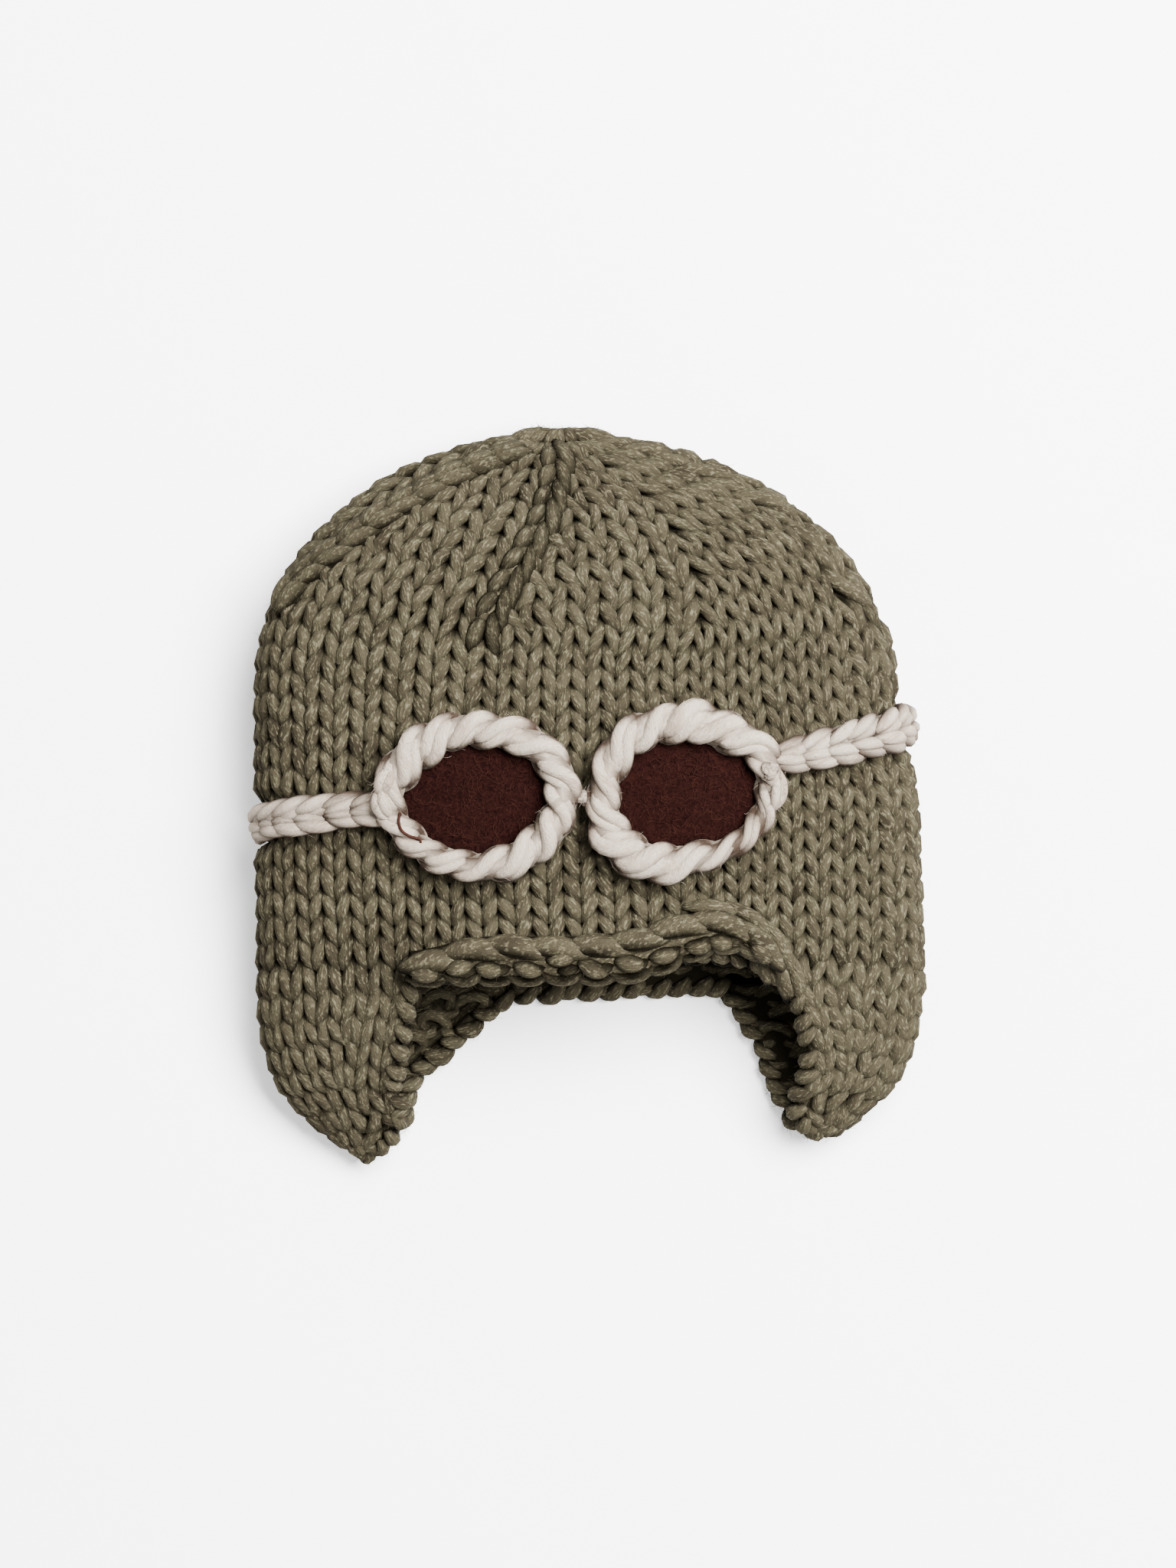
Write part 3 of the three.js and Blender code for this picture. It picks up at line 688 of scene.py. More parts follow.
# %% Yarn maker
TABLE_GAP = 0.15


def press_on_table(mesh):
    places = vertex_places(mesh)
    places[2::3] = np.maximum(places[2::3], TABLE_GAP * MM)
    mesh.vertices.foreach_set("co", places)


def make_yarn(name, strands, material, twist=TWIST_PER_MM, sides=YARN_SIDES):
    """One mesh object of round strands."""
    curve = strand_curve(name, strands, sides)
    holder = add_object(name + "_path", curve)
    depsgraph = bpy.context.evaluated_depsgraph_get()
    mesh = bpy.data.meshes.new_from_object(holder.evaluated_get(depsgraph))
    bpy.data.objects.remove(holder)
    bpy.data.curves.remove(curve)
    mesh.name = name
    add_fibre_coordinates(mesh, strands, twist, sides)
    press_on_table(mesh)
    close_ends(mesh, sides)
    mesh.materials.clear()
    mesh.materials.append(material)
    return add_object(name, mesh)


def join_into(piece, others):
    with bpy.context.temp_override(active_object=piece, object=piece,
                                   selected_editable_objects=[piece] + others):
        bpy.ops.object.join()
    return piece


print("the yarn stays", TABLE_GAP, "mm above the table")

# %% [markdown]
# ## Fibres in colour and relief
# Wool looks soft because of its fibres: pale and dark streaks run along the yarn with its
# twist, and each strand has a slightly different tone. Noise that is stretched along the fibre
# coordinates gives those streaks, in colour and in relief. A dark colour is then mixed in as
# painted shade between the loops. One node group serves both yarns.

# %% Fibre shader
# Detail of the noise, and how dense it is along the yarn and around it
STREAKS = (4.0, (0.8, 1.8, 1.8))
FINE_FIBRES = (3.0, (1.8, 4.4, 4.4))
PATCHES = (1.0, (0.09, 0.35, 0.35))


def add_node(tree, kind, inputs, **settings):
    """A shader node. Each of its inputs takes a value or the output of another node."""
    node = tree.nodes.new("ShaderNode" + kind)
    for name, value in settings.items():
        setattr(node, name, value)
    for socket, value in inputs.items():
        if isinstance(value, bpy.types.NodeSocket):
            tree.links.new(value, node.inputs[socket])
        else:
            node.inputs[socket].default_value = value
    return node


def wool_fibre_group():
    group = bpy.data.node_groups.new("wool_fibres", "ShaderNodeTree")
    for name in ("Dark", "Middle", "Light", "PaintedShade"):
        group.interface.new_socket(name, in_out="INPUT", socket_type="NodeSocketColor")
    group.interface.new_socket("Heather", in_out="INPUT", socket_type="NodeSocketFloat")
    group.interface.new_socket("Color", in_out="OUTPUT", socket_type="NodeSocketColor")
    group.interface.new_socket("Height", in_out="OUTPUT", socket_type="NodeSocketFloat")
    given = group.nodes.new("NodeGroupInput").outputs
    result = group.nodes.new("NodeGroupOutput").inputs
    # The attribute named depth holds the painted shade between the loops
    fibre, tone, depth = (add_node(group, "Attribute", {}, attribute_name=name).outputs
                          for name in ("fibre", "tone", "depth"))

    def noise(detail, stretch):
        place = add_node(group, "Mapping", {"Vector": fibre["Vector"], "Scale": stretch})
        return add_node(group, "TexNoise", {"Vector": place.outputs["Vector"], "Scale": 1.0,
                                            "Detail": detail}).outputs["Fac"]

    def ramp(value, low, high):
        return add_node(group, "MapRange", {"Value": value, "From Min": low, "From Max": high},
                        interpolation_type="SMOOTHSTEP").outputs["Result"]

    def mix(factor, first, second):
        # Sockets 0, 6 and 7 of a mix node are its factor and its two colours
        return add_node(group, "Mix", {0: factor, 6: first, 7: second},
                        data_type="RGBA").outputs[2]

    def combine(operation, first, second):
        return add_node(group, "Math", {0: first, 1: second}, operation=operation).outputs[0]

    streaks, fine, patches = noise(*STREAKS), noise(*FINE_FIBRES), noise(*PATCHES)
    own_tone = combine("MULTIPLY", combine("SUBTRACT", tone["Fac"], 0.5), 0.18)
    base = mix(ramp(combine("ADD", patches, own_tone), 0.12, 0.62), given["Dark"],
               given["Middle"])
    light_share = combine("MULTIPLY", ramp(streaks, 0.5, 0.68), given["Heather"])
    streaked = mix(light_share, base, given["Light"])
    dark_share = combine("MULTIPLY", ramp(combine("SUBTRACT", 1.0, fine), 0.47, 0.66), 0.45)
    fibrous = mix(dark_share, streaked, given["Dark"])
    relief = combine("ADD", combine("MULTIPLY", streaks, 0.65), combine("MULTIPLY", fine, 0.35))
    # Painted shade: the depth attribute mixes the dark shade colour in between the loops
    group.links.new(mix(depth["Fac"], fibrous, given["PaintedShade"]), result["Color"])
    group.links.new(relief, result["Height"])
    return group


wool_fibres = wool_fibre_group()
print("nodes in the fibre group:", len(wool_fibres.nodes))

# %% [markdown]
# ## The two yarns
# Both yarns are matt, with next to no shine. The olive one gets colours from a painted shade of
# near black between the loops to a greyish olive on their backs, and the cream one is a warm
# off-white with a painted brown shade between its strands.

# %% Wool materials
WOOL_RELIEF = 0.6


def srgb(red, green, blue):
    """Linear colour from values of 0 to 255."""
    def linear(value):
        value /= 255
        return value / 12.92 if value <= 0.04045 else ((value + 0.055) / 1.055) ** 2.4
    return linear(red), linear(green), linear(blue), 1


def new_material(name, values):
    """A material with values on the sockets of its shader, and that shader."""
    material = bpy.data.materials.new(name)
    material.use_nodes = True
    shader = material.node_tree.nodes["Principled BSDF"]
    for socket, value in values.items():
        shader.inputs[socket].default_value = value
    return material, shader


def fibrous_material(name, roughness, sheen, tint):
    return new_material(name, {"Roughness": roughness, "Specular IOR Level": 0.02,
                               "Sheen Weight": sheen, "Sheen Roughness": 0.5,
                               "Sheen Tint": tint})


def connect(material, shader, color, height, strength, distance):
    """Lead a colour and a relief to the shader of a material."""
    tree = material.node_tree
    bump = add_node(tree, "Bump", {"Strength": strength, "Distance": distance * MM,
                                   "Height": height})
    tree.links.new(color, shader.inputs["Base Color"])
    tree.links.new(bump.outputs["Normal"], shader.inputs["Normal"])


def wool_material(name, dark, middle, light, painted_shade_colour, heather, relief):
    light = srgb(*light)
    material, shader = fibrous_material(name, 0.92, 0.03, light)
    fibres = add_node(material.node_tree, "Group", {}, node_tree=wool_fibres)
    for socket, value in (("Dark", srgb(*dark)), ("Middle", srgb(*middle)), ("Light", light),
                          ("PaintedShade", srgb(*painted_shade_colour)), ("Heather", heather)):
        fibres.inputs[socket].default_value = value
    connect(material, shader, fibres.outputs["Color"], fibres.outputs["Height"], relief,
            WOOL_RELIEF)
    return material


# The fourth colour of each yarn is the painted shade between its loops
olive_wool = wool_material("olive_wool", (30, 26, 19), (50, 46, 35), (89, 84, 66), (4, 3, 1),
                           0.66, 1.0)
cream_wool = wool_material("cream_wool", (110, 96, 84), (138, 127, 114), (151, 142, 130),
                           (38, 29, 23), 0.6, 0.8)
print("wool materials:", olive_wool.name, cream_wool.name)

# %% [markdown]
# ## The inside of the fabric
# Between the loops of a real knit you look into its shaded middle, never right through. A thin
# sheet inside the wall gives that: it stops the view, and its colour is painted shade, close to
# the dark between the loops. It is a plain grid, bent onto the same net of rows and columns, and
# given a little thickness. It is joined to the loops, as it is no piece of its own.

# %% Middle of the fabric
SHEET_DEPTH = 3.9
SHEET_THICKNESS = 0.9
SHEET_BELOW = 0.7
# How much painted shade the sheet gets, from 0 to 1
SHEET_SHADE = 0.75
SAME_PLACE = 0.02


def on_net(lines, keys, across, row):
    """Share and rise of many points between the lines of a net, for across from 0 to 1."""
    zones = len(lines) - 1
    at_row = np.array([[np.interp(row, keys, line[k]) for line in lines] for k in (0, 1)])
    zone = np.clip((across * zones).astype(int), 0, zones - 1)
    t = across * zones - zone
    each = np.arange(len(across))
    return at_row[:, zone, each] * (1 - t) + at_row[:, zone + 1, each] * t


def on_rounds(across, up):
    """Share and rise all round the hat, for across and up from 0 to 1."""
    row = (ROUNDS + SHEET_BELOW) * up - SHEET_BELOW
    share, rise = on_net(guides, round_keys, across, row)
    return share, rise + np.minimum(row, 0) * ROUND_RISE


def on_flap(side, across, up):
    """The same for a flap, from its front edge round the fold to its back edge."""
    return on_net(flap_lines[side], flap_keys, across, FLAP_ROWS * up)


def solid_sheet(bm, thickness):
    bmesh.ops.solidify(bm, geom=bm.verts[:] + bm.edges[:] + bm.faces[:], thickness=thickness * MM)


def shaded_inner_sheet(name, place, columns, rows):
    bm = bmesh.new()
    bmesh.ops.create_grid(bm, x_segments=columns, y_segments=rows, size=0.5)
    flat = np.array([vert.co for vert in bm.verts]) + 0.5
    points = surface(*place(flat[:, 0], flat[:, 1]), SHEET_DEPTH)[0]
    for vert, point in zip(bm.verts, points):
        vert.co = Vector(point.tolist()) * MM
    bmesh.ops.remove_doubles(bm, verts=bm.verts, dist=SAME_PLACE * MM)
    bmesh.ops.recalc_face_normals(bm, faces=bm.faces)
    solid_sheet(bm, SHEET_THICKNESS)
    mesh = smooth_mesh(bm, bpy.data.meshes.new(name))
    # The whole sheet is painted with shade, through the attribute named depth
    painted_shade = mesh.attributes.new("depth", "FLOAT", "POINT")
    painted_shade.data.foreach_set("value", np.full(len(mesh.vertices), SHEET_SHADE, np.float32))
    mesh.materials.append(olive_wool)
    return add_object(name, mesh)


print("middle of the fabric at", SHEET_DEPTH, "mm below the outer face")

# %% [markdown]
# ## Knit pieces
# The rounds and the flap rows become four pieces: body, crown and two flaps. That keeps each
# one light to handle. Together they stand for the one plain shell of the frame.

# %% Knit meshes
body = make_yarn("body_knit", rounds[:BODY_ROUNDS], olive_wool)
join_into(body, [shaded_inner_sheet("middle_of_rounds", on_rounds, 112, 38)])
crown = make_yarn("crown_knit", rounds[BODY_ROUNDS:], olive_wool)
flaps = []
for side, rows in flap_rows.items():
    flap = make_yarn(f"{side}_flap_knit", rows, olive_wool)
    sheet = shaded_inner_sheet("middle_of_flap", lambda u, v, side=side: on_flap(side, u, v), 48, 18)
    flaps.append(join_into(flap, [sheet]))
for piece in [body, crown] + flaps:
    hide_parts("knitted_shell")
    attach(piece, "root")
    print(piece.name, len(piece.data.polygons), "faces")

# %% [markdown]
# ## Cords that lie on the knit
# The rims, the strap and the forehead band all lie on the surface of the knit. We follow each
# one's middle line and keep three directions there: along it, across it and away from the hat.
# A strand is then drawn by how far along, across and up it lies.

# %% Paths on the surface
def unit(vectors):
    return vectors / (np.linalg.norm(vectors, axis=-1, keepdims=True) + 1e-9)


def knit_below(x, y, layer=1):
    """Shares and rises of many points at x, y on one layer."""
    return unzip(on_layer(a, b, layer) for a, b in zip(x, y))


def path_on_knit(shares, rises, seat, closed):
    """Middle line at a height above the knit, with its directions and its length."""
    middle, away = surface(shares, rises, -np.asarray(seat))
    if closed:
        ahead = np.roll(middle, -1, axis=0) - np.roll(middle, 1, axis=0)
    else:
        ahead = np.gradient(middle, axis=0)
    across = unit(np.cross(away, unit(ahead)))
    if closed:
        middle, away, across = (np.concatenate([v, v[:1]]) for v in (middle, away, across))
    length = travel(middle)
    return {"middle": middle, "away": away, "across": across, "length": length,
            "total": length[-1], "closed": closed}


def on_path(path, along, across, up):
    """Points at a length along a path, a step across it and a height."""
    if path["closed"]:
        along = along % path["total"]
    beyond = along - np.clip(along, 0, path["total"])

    def read(values):
        return np.stack([np.interp(along, path["length"], values[:, k]) for k in range(3)], -1)

    side, away = read(path["across"]), read(path["away"])
    point = read(path["middle"]) + np.cross(side, away) * beyond[..., None]
    point = point + side * np.asarray(across)[..., None] + away * np.asarray(up)[..., None]
    return point, unit(away)


def width_at(path, along):
    return np.interp(along, path["length"], path["width"])


def even_pitch(path, pitch):
    """How many stitches of about this pitch fill a path, and their exact pitch."""
    count = round(path["total"] / pitch)
    return count, path["total"] / count


print("knit below x 10 and 20:", [np.round(v, 2) for v in knit_below((10, 20), (0, 0))])

# %% [markdown]
# ## Legs and chains
# Crochet and knit edges are the same few shapes again and again. The first is a plump leg of a
# loop that is thin where it dives under the next one. A chain is made of such legs in pairs.

# %% Legs of yarn
# Height above the knit that counts as a cord's outer face; below it the painted shade of the
# creases sets in, at most as deep as LEG_SHADE
CORD_TOP = 3.4
LEG_SHADE = 3.0
# How a link of a chain reaches back and ahead, and how far its legs lie apart where they meet
LINK_BACK, LINK_AHEAD, LINK_MEET = 0.62, 0.38, 0.26
LINK_ARCH = 0.8


def plump(t, power, tip=0.05):
    """Thickness along a leg: thin at both ends and plump between."""
    return np.sin(math.pi * np.clip(t, tip, 1 - tip)) ** power


def leaf(path, along, across, up, thick, arch, points=13):
    """One plump leg of a loop. Along, across and up each give its start and its end."""
    t = np.linspace(0, 1, points)
    height = up[0] + (up[1] - up[0]) * t + arch * np.sin(math.pi * t)
    point, away = on_path(path, along[0] + (along[1] - along[0]) * t,
                          across[0] + (across[1] - across[0]) * t, height)
    # Its depth below CORD_TOP sets its painted shade
    return point, thick * plump(t, 0.45), away, np.minimum(CORD_TOP - height, LEG_SHADE), False


def chain_links(path, pitch, reach, thick, rise, point_first=False):
    """A crocheted chain: links of two legs that meet in a point and lie over the next link."""
    strands = []
    count, pitch = even_pitch(path, pitch)
    for k in range(count):
        own = random.normal(size=4)
        middle = (k + 0.5) * pitch
        width = width_at(path, middle)
        along = (middle - LINK_BACK * reach * pitch, middle + LINK_AHEAD * reach * pitch)
        along = along[::-1] if point_first else along
        for side in (-1, 1):
            wide = side * (width / 2 - thick * 0.85) + 0.2 * own[3]
            shift = 0.3 * own[0] + 0.35 * side * own[1]
            strands.append(leaf(path, (along[0] + shift, along[1] + shift),
                                (wide, side * thick * LINK_MEET),
                                (rise[0], rise[1] + 0.2 * own[2]),
                                thick * (1 + 0.05 * own[3]), LINK_ARCH))
    return strands


print("thickness along a leg:", np.round(plump(np.linspace(0, 1, 5), 0.45), 2))

# %% [markdown]
# ## Edges, knots and plies
# A cast-off edge is a row of legs that wrap round the fabric, over two strands that fill it.
# A knot is a trefoil pulled tight. The cream yarn is spun from three plies that wind round each
# other, so each of its strands is split into three.

# %% Edges, knots and plies
EDGE_PITCH = 5.4
EDGE_SPAN = 1.35
EDGE_REACH = (1.9, 2.5)
KNOT_POINTS = 26
PLIES = 3
PLY_SHIFT = 0.42
PLY_RADIUS = 0.62


def whipped_edge(path, outward, thick):
    """Slanting legs that wrap round an edge of the knit from its outer to its inner face."""
    strands = []
    count, pitch = even_pitch(path, EDGE_PITCH)
    t = np.linspace(0, 1, 11)
    turn = np.radians(115 - 230 * t)
    for k in range(count):
        own = random.normal(size=3)
        along = (k + EDGE_SPAN * (t - 0.15)) * pitch + 0.6 * own[0]
        across = outward * (EDGE_REACH[0] * np.cos(turn) - 0.4 + 0.3 * own[1])
        up = EDGE_REACH[1] * np.sin(turn)
        point = on_path(path, along, across, up)[0]
        beyond = on_path(path, along, across + outward * np.cos(turn), up + np.sin(turn))[0]
        # The depths 1.6 here and 2.6 below set the painted shade of the legs and the filling
        # strands
        strands.append((point, thick * plump(t, 0.4) * (1 + 0.1 * own[2]), unit(beyond - point),
                        0 * t + 1.6, False))
    along = np.linspace(0, path["total"], 60)
    for inward in (0.8, 3.4):
        point, away = on_path(path, along, 0 * along - outward * inward, 0 * along)
        strands.append((point, 0 * along + 1.7, away, 0 * along + 2.6, False))
    return strands


def small_knot(middle, away, size, thick, turn=0.0):
    """A trefoil of yarn pulled tight, as the end of a yarn leaves it."""
    t = np.linspace(0, 2 * math.pi, KNOT_POINTS + 1)[:-1]
    flat = unit(np.cross(away, [math.cos(turn), math.sin(turn), 0.3]))
    other = np.cross(away, flat)
    x = (np.sin(t) + 1.5 * np.sin(2 * t)) / 2.5 * size
    y = (np.cos(t) - 1.5 * np.cos(2 * t)) / 2.5 * size
    z = -np.sin(3 * t) * size * 0.42
    point = middle + x[:, None] * flat + y[:, None] * other + z[:, None] * away
    # 1.8 less the height sets the knot's painted shade
    return point, np.full(len(t), thick), np.tile(away, (len(t), 1)), 1.8 - z, True


def plied(strands, twist):
    """The same strands, each spun from plies that wind round its middle line."""
    plies = []
    for points, radii, normals, depths, closed in strands:
        if closed:
            ahead = unit(np.roll(points, -1, axis=0) - np.roll(points, 1, axis=0))
            steps = np.linalg.norm(np.roll(points, -1, axis=0) - points, axis=1)
            turns = 2 * math.pi * round(steps.sum() * twist) / steps.sum()
        else:
            ahead = unit(np.gradient(points, axis=0))
            turns = 2 * math.pi * twist
        side = unit(np.cross(normals, ahead))
        above = np.cross(ahead, side)
        first = random.uniform(0, 1)
        for k in range(PLIES):
            angle = first + 2 * math.pi * k / PLIES + turns * travel(points)
            shift = PLY_SHIFT * radii[:, None] * (np.cos(angle)[:, None] * above
                                                  + np.sin(angle)[:, None] * side)
            lift = np.einsum("rk,rk->r", shift, normals)
            plies.append((points + shift, PLY_RADIUS * radii, normals, depths - lift, closed))
    return plies


print("plies of a strand:", PLIES)

# %% [markdown]
# ## Crown ridges and gather
# Where stitches are knitted together, bigger legs lie on top and draw lines up to the tip. Two
# of them stand out on the front. The line left of the middle shows plump single loops beside
# long slanting legs, and the one at the left a bold chain. At the tip the last loops are drawn
# together on the end of the yarn.

# %% Ridges of the crown
RIDGE_FROM, RIDGE_TO = 14.3, 25.0
RIDGE_POINTS = 60
RIDGE_PITCH = 7.0
GATHER_LEGS = 18


def ridge_path(line, seat):
    row = np.linspace(RIDGE_FROM, RIDGE_TO, RIDGE_POINTS)
    path = path_on_knit(np.interp(row, round_keys, line[0]), np.interp(row, round_keys, line[1]),
                        seat, False)
    path["width"] = np.linspace(10.5, 8.0, RIDGE_POINTS)
    return path


def plump_ridge(path):
    """Single plump loops on one side and long slanting legs on the other."""
    strands = []
    for k in range(round(path["total"] / RIDGE_PITCH)):
        own = random.normal(size=3)
        low = RIDGE_PITCH * k + 0.4 * own[2]
        strands.append(leaf(path, (low - 0.6, low + 9.0), (4.2, 2.4), (-1.8, -1.6),
                            2.35 + 0.1 * own[0], 2.2))
        strands.append(leaf(path, (low - 2.0, low + 12.0), (-3.2 + 0.2 * own[0], 1.2),
                            (-1.2, -0.9), 2.15 + 0.08 * own[1], 1.6, 15))
    return strands


def gather_at_tip():
    """Long legs that run over the tip, side by side."""
    strands = []
    t = np.linspace(0, 1, 13)
    for k in range(GATHER_LEGS):
        own = random.normal(size=3)
        share = (k + 0.5 + 0.12 * own[0]) / GATHER_LEGS
        rise = TOP_OF_DOME - 0.8 - (13.5 + 1.4 * own[1]) * t
        depth = 3.4 - 3.0 * np.sin(math.pi * np.clip(t + 0.06, 0, 1)) ** 0.7
        point, away = surface(share + 0.01 * t, rise, depth)
        # Its depth, less 0.4, sets its painted shade
        strands.append((point, (1.9 + 0.1 * own[2]) * plump(t, 0.4), away, depth - 0.4, False))
    return strands


ridges = plump_ridge(ridge_path(guides[2], -1.1))
ridges += chain_links(ridge_path(guides[3], -0.9), 7.6, 1.75, 2.7, (-1.5, 0.9), True)
ridges += gather_at_tip()
join_into(crown, [make_yarn("ridges", ridges, olive_wool)])
print("ridge legs:", len(ridges), "crown faces:", len(crown.data.polygons))

# %% [markdown]
# ## Edges of the flaps and the nape
# The cast-off edge runs down each flap's front edge, round the tip, up the back edge and across
# the nape. Another row closes the edge under the forehead band. Small knots end the yarns.

# %% Cast-off edges
EDGE_SEAT = -3.1
NAPE = [(-24.8, -53.6), (-10.0, -51.6), (10.0, -50.4), (26.0, -49.8), (37.0, -50.0)]
BROW = [(-47.0, -46.6), (-31.6, -43.6), (0.0, -43.0), (28.6, -40.8), (44.0, -43.4),
        (52.0, -48.0)]


def edge_path(points, layer):
    """Path beside an edge, through a few points at x, y."""
    key, fine = np.linspace(0, 1, len(points)), np.linspace(0, 1, 60)
    x, y = (smooth_table(key, values, fine) for values in unzip(points))
    return path_on_knit(*knit_below(x, y, layer), EDGE_SEAT, False)


edges = {}
for side, outward in (("left", 1), ("right", -1)):
    front = edge_path(FLAPS[side]["front_edge"], 1)
    back = edge_path(FLAPS[side]["back_edge"], -1)
    edges[side] = whipped_edge(front, outward, 2.2) + whipped_edge(back, -outward, 2.2)
    tip, away = on_path(front, np.array([front["total"] - 1.0]), [0.0], [0.5])
    edges[side].append(small_knot(tip[0], away[0], 2.6, 2.0))
bump, away = surface(*on_front(-50.6, -85.6), 2.4)
edges["left"].append(small_knot(bump, away, 2.5, 2.0, 0.8))
edges["nape"] = (whipped_edge(edge_path(NAPE, -1), 1, 2.3)
                 + whipped_edge(edge_path(BROW, 1), -1, 2.2))
for piece, name in ((flaps[0], "left"), (flaps[1], "right"), (body, "nape")):
    join_into(piece, [make_yarn(f"{name}_edge", edges[name], olive_wool)])
print("edge legs:", {name: len(legs) for name, legs in edges.items()})

# %% [markdown]
# ## Goggle rims
# Each rim is a thick cord worked from the cream yarn: two plump strands wind round a core and
# each other, so slanting bulges pass over it one after the other. The middle line is a ring
# whose radius and width change. They were read off the photograph every 30 degrees.

# %% Paths of the rims
RIM_GAP = 0.4
RIM_THICKNESS = 7.6
RIM_STEPS = 96
# Radius of the middle line and width of the cord every 30 degrees, from the right
GOGGLES = {
    "left": {"center": (-29.2, -1.3),
             "radius": [22.6, 22.2, 19.2, 18.2, 18.8, 20.2, 21.6, 18.9, 16.8, 16.8, 17.6, 20.0],
             "width": [10.0, 10.6, 10.4, 10.2, 11.2, 11.4, 9.2, 8.6, 8.6, 9.0, 10.2, 10.8]},
    "right": {"center": (25.0, 1.1),
              "radius": [21.4, 21.2, 17.8, 17.9, 18.6, 20.4, 21.0, 22.0, 20.4, 17.6, 17.6, 19.8],
              "width": [8.2, 10.2, 11.6, 11.8, 11.2, 10.6, 10.0, 11.4, 12.0, 10.2, 7.4, 7.2]},
}


def round_table(values, turns):
    """Smooth value round a ring of values."""
    values = np.array(values)
    place = (turns % 1) * len(values)
    i = np.floor(place).astype(int)
    t = place - i

    def at(k):
        return values[(i + k) % len(values)]

    bend = t * t * (3 - 2 * t)
    return (at(0) * (1 - bend) + at(1) * bend + (at(1) - at(-1)) / 2 * t * (1 - t) ** 2
            - (at(2) - at(0)) / 2 * t * t * (1 - t))


def rim_path(goggle):
    turns = np.arange(RIM_STEPS) / RIM_STEPS
    angle = 2 * math.pi * turns
    radius = round_table(goggle["radius"], turns)
    x = goggle["center"][0] + radius * np.cos(angle)
    y = goggle["center"][1] + radius * np.sin(angle)
    path = path_on_knit(*knit_below(x, y), RIM_GAP + RIM_THICKNESS / 2, True)
    path["width"] = np.concatenate([round_table(goggle["width"], turns), [goggle["width"][0]]])
    return path


rim_paths = {side: rim_path(goggle) for side, goggle in GOGGLES.items()}
print("rim lengths:", {side: round(path["total"]) for side, path in rim_paths.items()}, "mm")

# %% [markdown]
# ## Winding the rims
# A hand never pulls a yarn equally tight, so the strands get slow waves of thickness. Small
# links and knots fasten the rims to the strap and to each other.

# %% Goggle rims
RIM_TURNS = 7
RIM_POINTS = 126
RIM_FLATNESS = 0.7
RIM_STARTS = {"left": 0.4, "right": 1.3}
# Shares of a cord's width: radius of a strand, its way off the middle, radius of the core
RIM_STRAND, RIM_REACH, RIM_CORE = 0.292, 0.225, 0.38
CREAM_TWIST = 0.25
# Legs that join a rim to the next thing. Each row: share of the ring, across, up, thickness
RIM_LINKS = {
    "left": [((0.455, 0.505), (-1.2, -1.6), (1.8, 2.4), 2.6),
             ((0.495, 0.548), (-1.6, -0.9), (2.6, 1.6), 2.7)],
    "right": [((-0.035, 0.035), (-1.2, -2.4), (1.6, 1.8), 2.2)],
}
# Knots on the rims: x, y, height above the knit, size, thickness, turn
RIM_KNOTS = {"left": (-1.4, -0.4, 4.2, 1.1, 1.0, 1.2), "right": (45.6, 6.4, 8.2, 1.5, 1.2, 0.4)}


def along_rim(path):
    """Even places round a rim, and the cord's width there."""
    along = np.arange(RIM_POINTS) / RIM_POINTS * path["total"]
    return along, width_at(path, along)


def twisted_cord(path, start):
    """Two strands that wind round each other along a closed path."""
    strands = []
    along, width = along_rim(path)
    share = 2 * math.pi * along / path["total"]
    for strand in range(2):
        phase = (RIM_TURNS * share + math.pi * strand + start
                 + 0.35 * np.sin(3 * share + start))
        uneven = (1 + 0.07 * np.sin(5 * share + 2 * strand) + 0.05 * np.sin(9 * share - strand)
                  + 0.1 * np.cos(phase))
        reach = width * RIM_REACH
        up = RIM_FLATNESS * reach * np.cos(phase)
        point, away = on_path(path, along, reach * np.sin(phase), up)
        strands.append((point, width * RIM_STRAND * uneven, away, CORD_TOP - up, True))
    return strands


def joining_links(side, path):
    """The small links and the knot that fasten a rim to its neighbours."""
    links = [leaf(path, (low * path["total"], high * path["total"]), across, up, thick, 1.2)
             for (low, high), across, up, thick in RIM_LINKS[side]]
    x, y, height, *knot = RIM_KNOTS[side]
    return links + [small_knot(*surface(*on_front(x, y), -height), *knot)]


def cord_core(path):
    """The filling that shows a little where the strands of a cord cross."""
    along, width = along_rim(path)
    middle, away = on_path(path, along, 0 * along, 0 * along - 0.5)
    # Its depth of 4.5 paints a little shade on it
    return middle, width * RIM_CORE, away, 0 * along + 4.5, True


rims, rim_cords = {}, {}
for side, path in rim_paths.items():
    cords = plied(twisted_cord(path, RIM_STARTS[side]), 0.012)
    rim_cords[side] = cords + plied(joining_links(side, path), 0.02)
    rim = rims[side] = make_yarn(f"{side}_goggle_rim", rim_cords[side] + [cord_core(path)],
                                 cream_wool, CREAM_TWIST)
    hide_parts(f"goggle_rim_{side}")
    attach(rim, "root")
    print(rim.name, "length", round(path["total"]), "mm")

# %% [markdown]
# ## Goggle strap
# The strap is a crocheted chain: each link is a V of two plump legs that comes out of the link
# before it. It leaves the left rim, goes round the back of the hat and ends at the right rim.

# %% Goggle strap
STRAP_THICKNESS = 5.0
STRAP_GAP = 0.6
LINK_PITCH = 7.4
UNDER_RIM = 4


def strap_path():
    turn = np.linspace(STRAP_ROUTE[0, 0] - UNDER_RIM, STRAP_ROUTE[-1, 0] + UNDER_RIM, 240)
    y = column_at(STRAP_ROUTE, 1, turn)
    share = read_grid(share_of_angle, turn / 360, y)
    path = path_on_knit(share, y, STRAP_GAP + STRAP_THICKNESS / 2, False)
    path["width"] = column_at(STRAP_ROUTE, 2, turn)
    return path


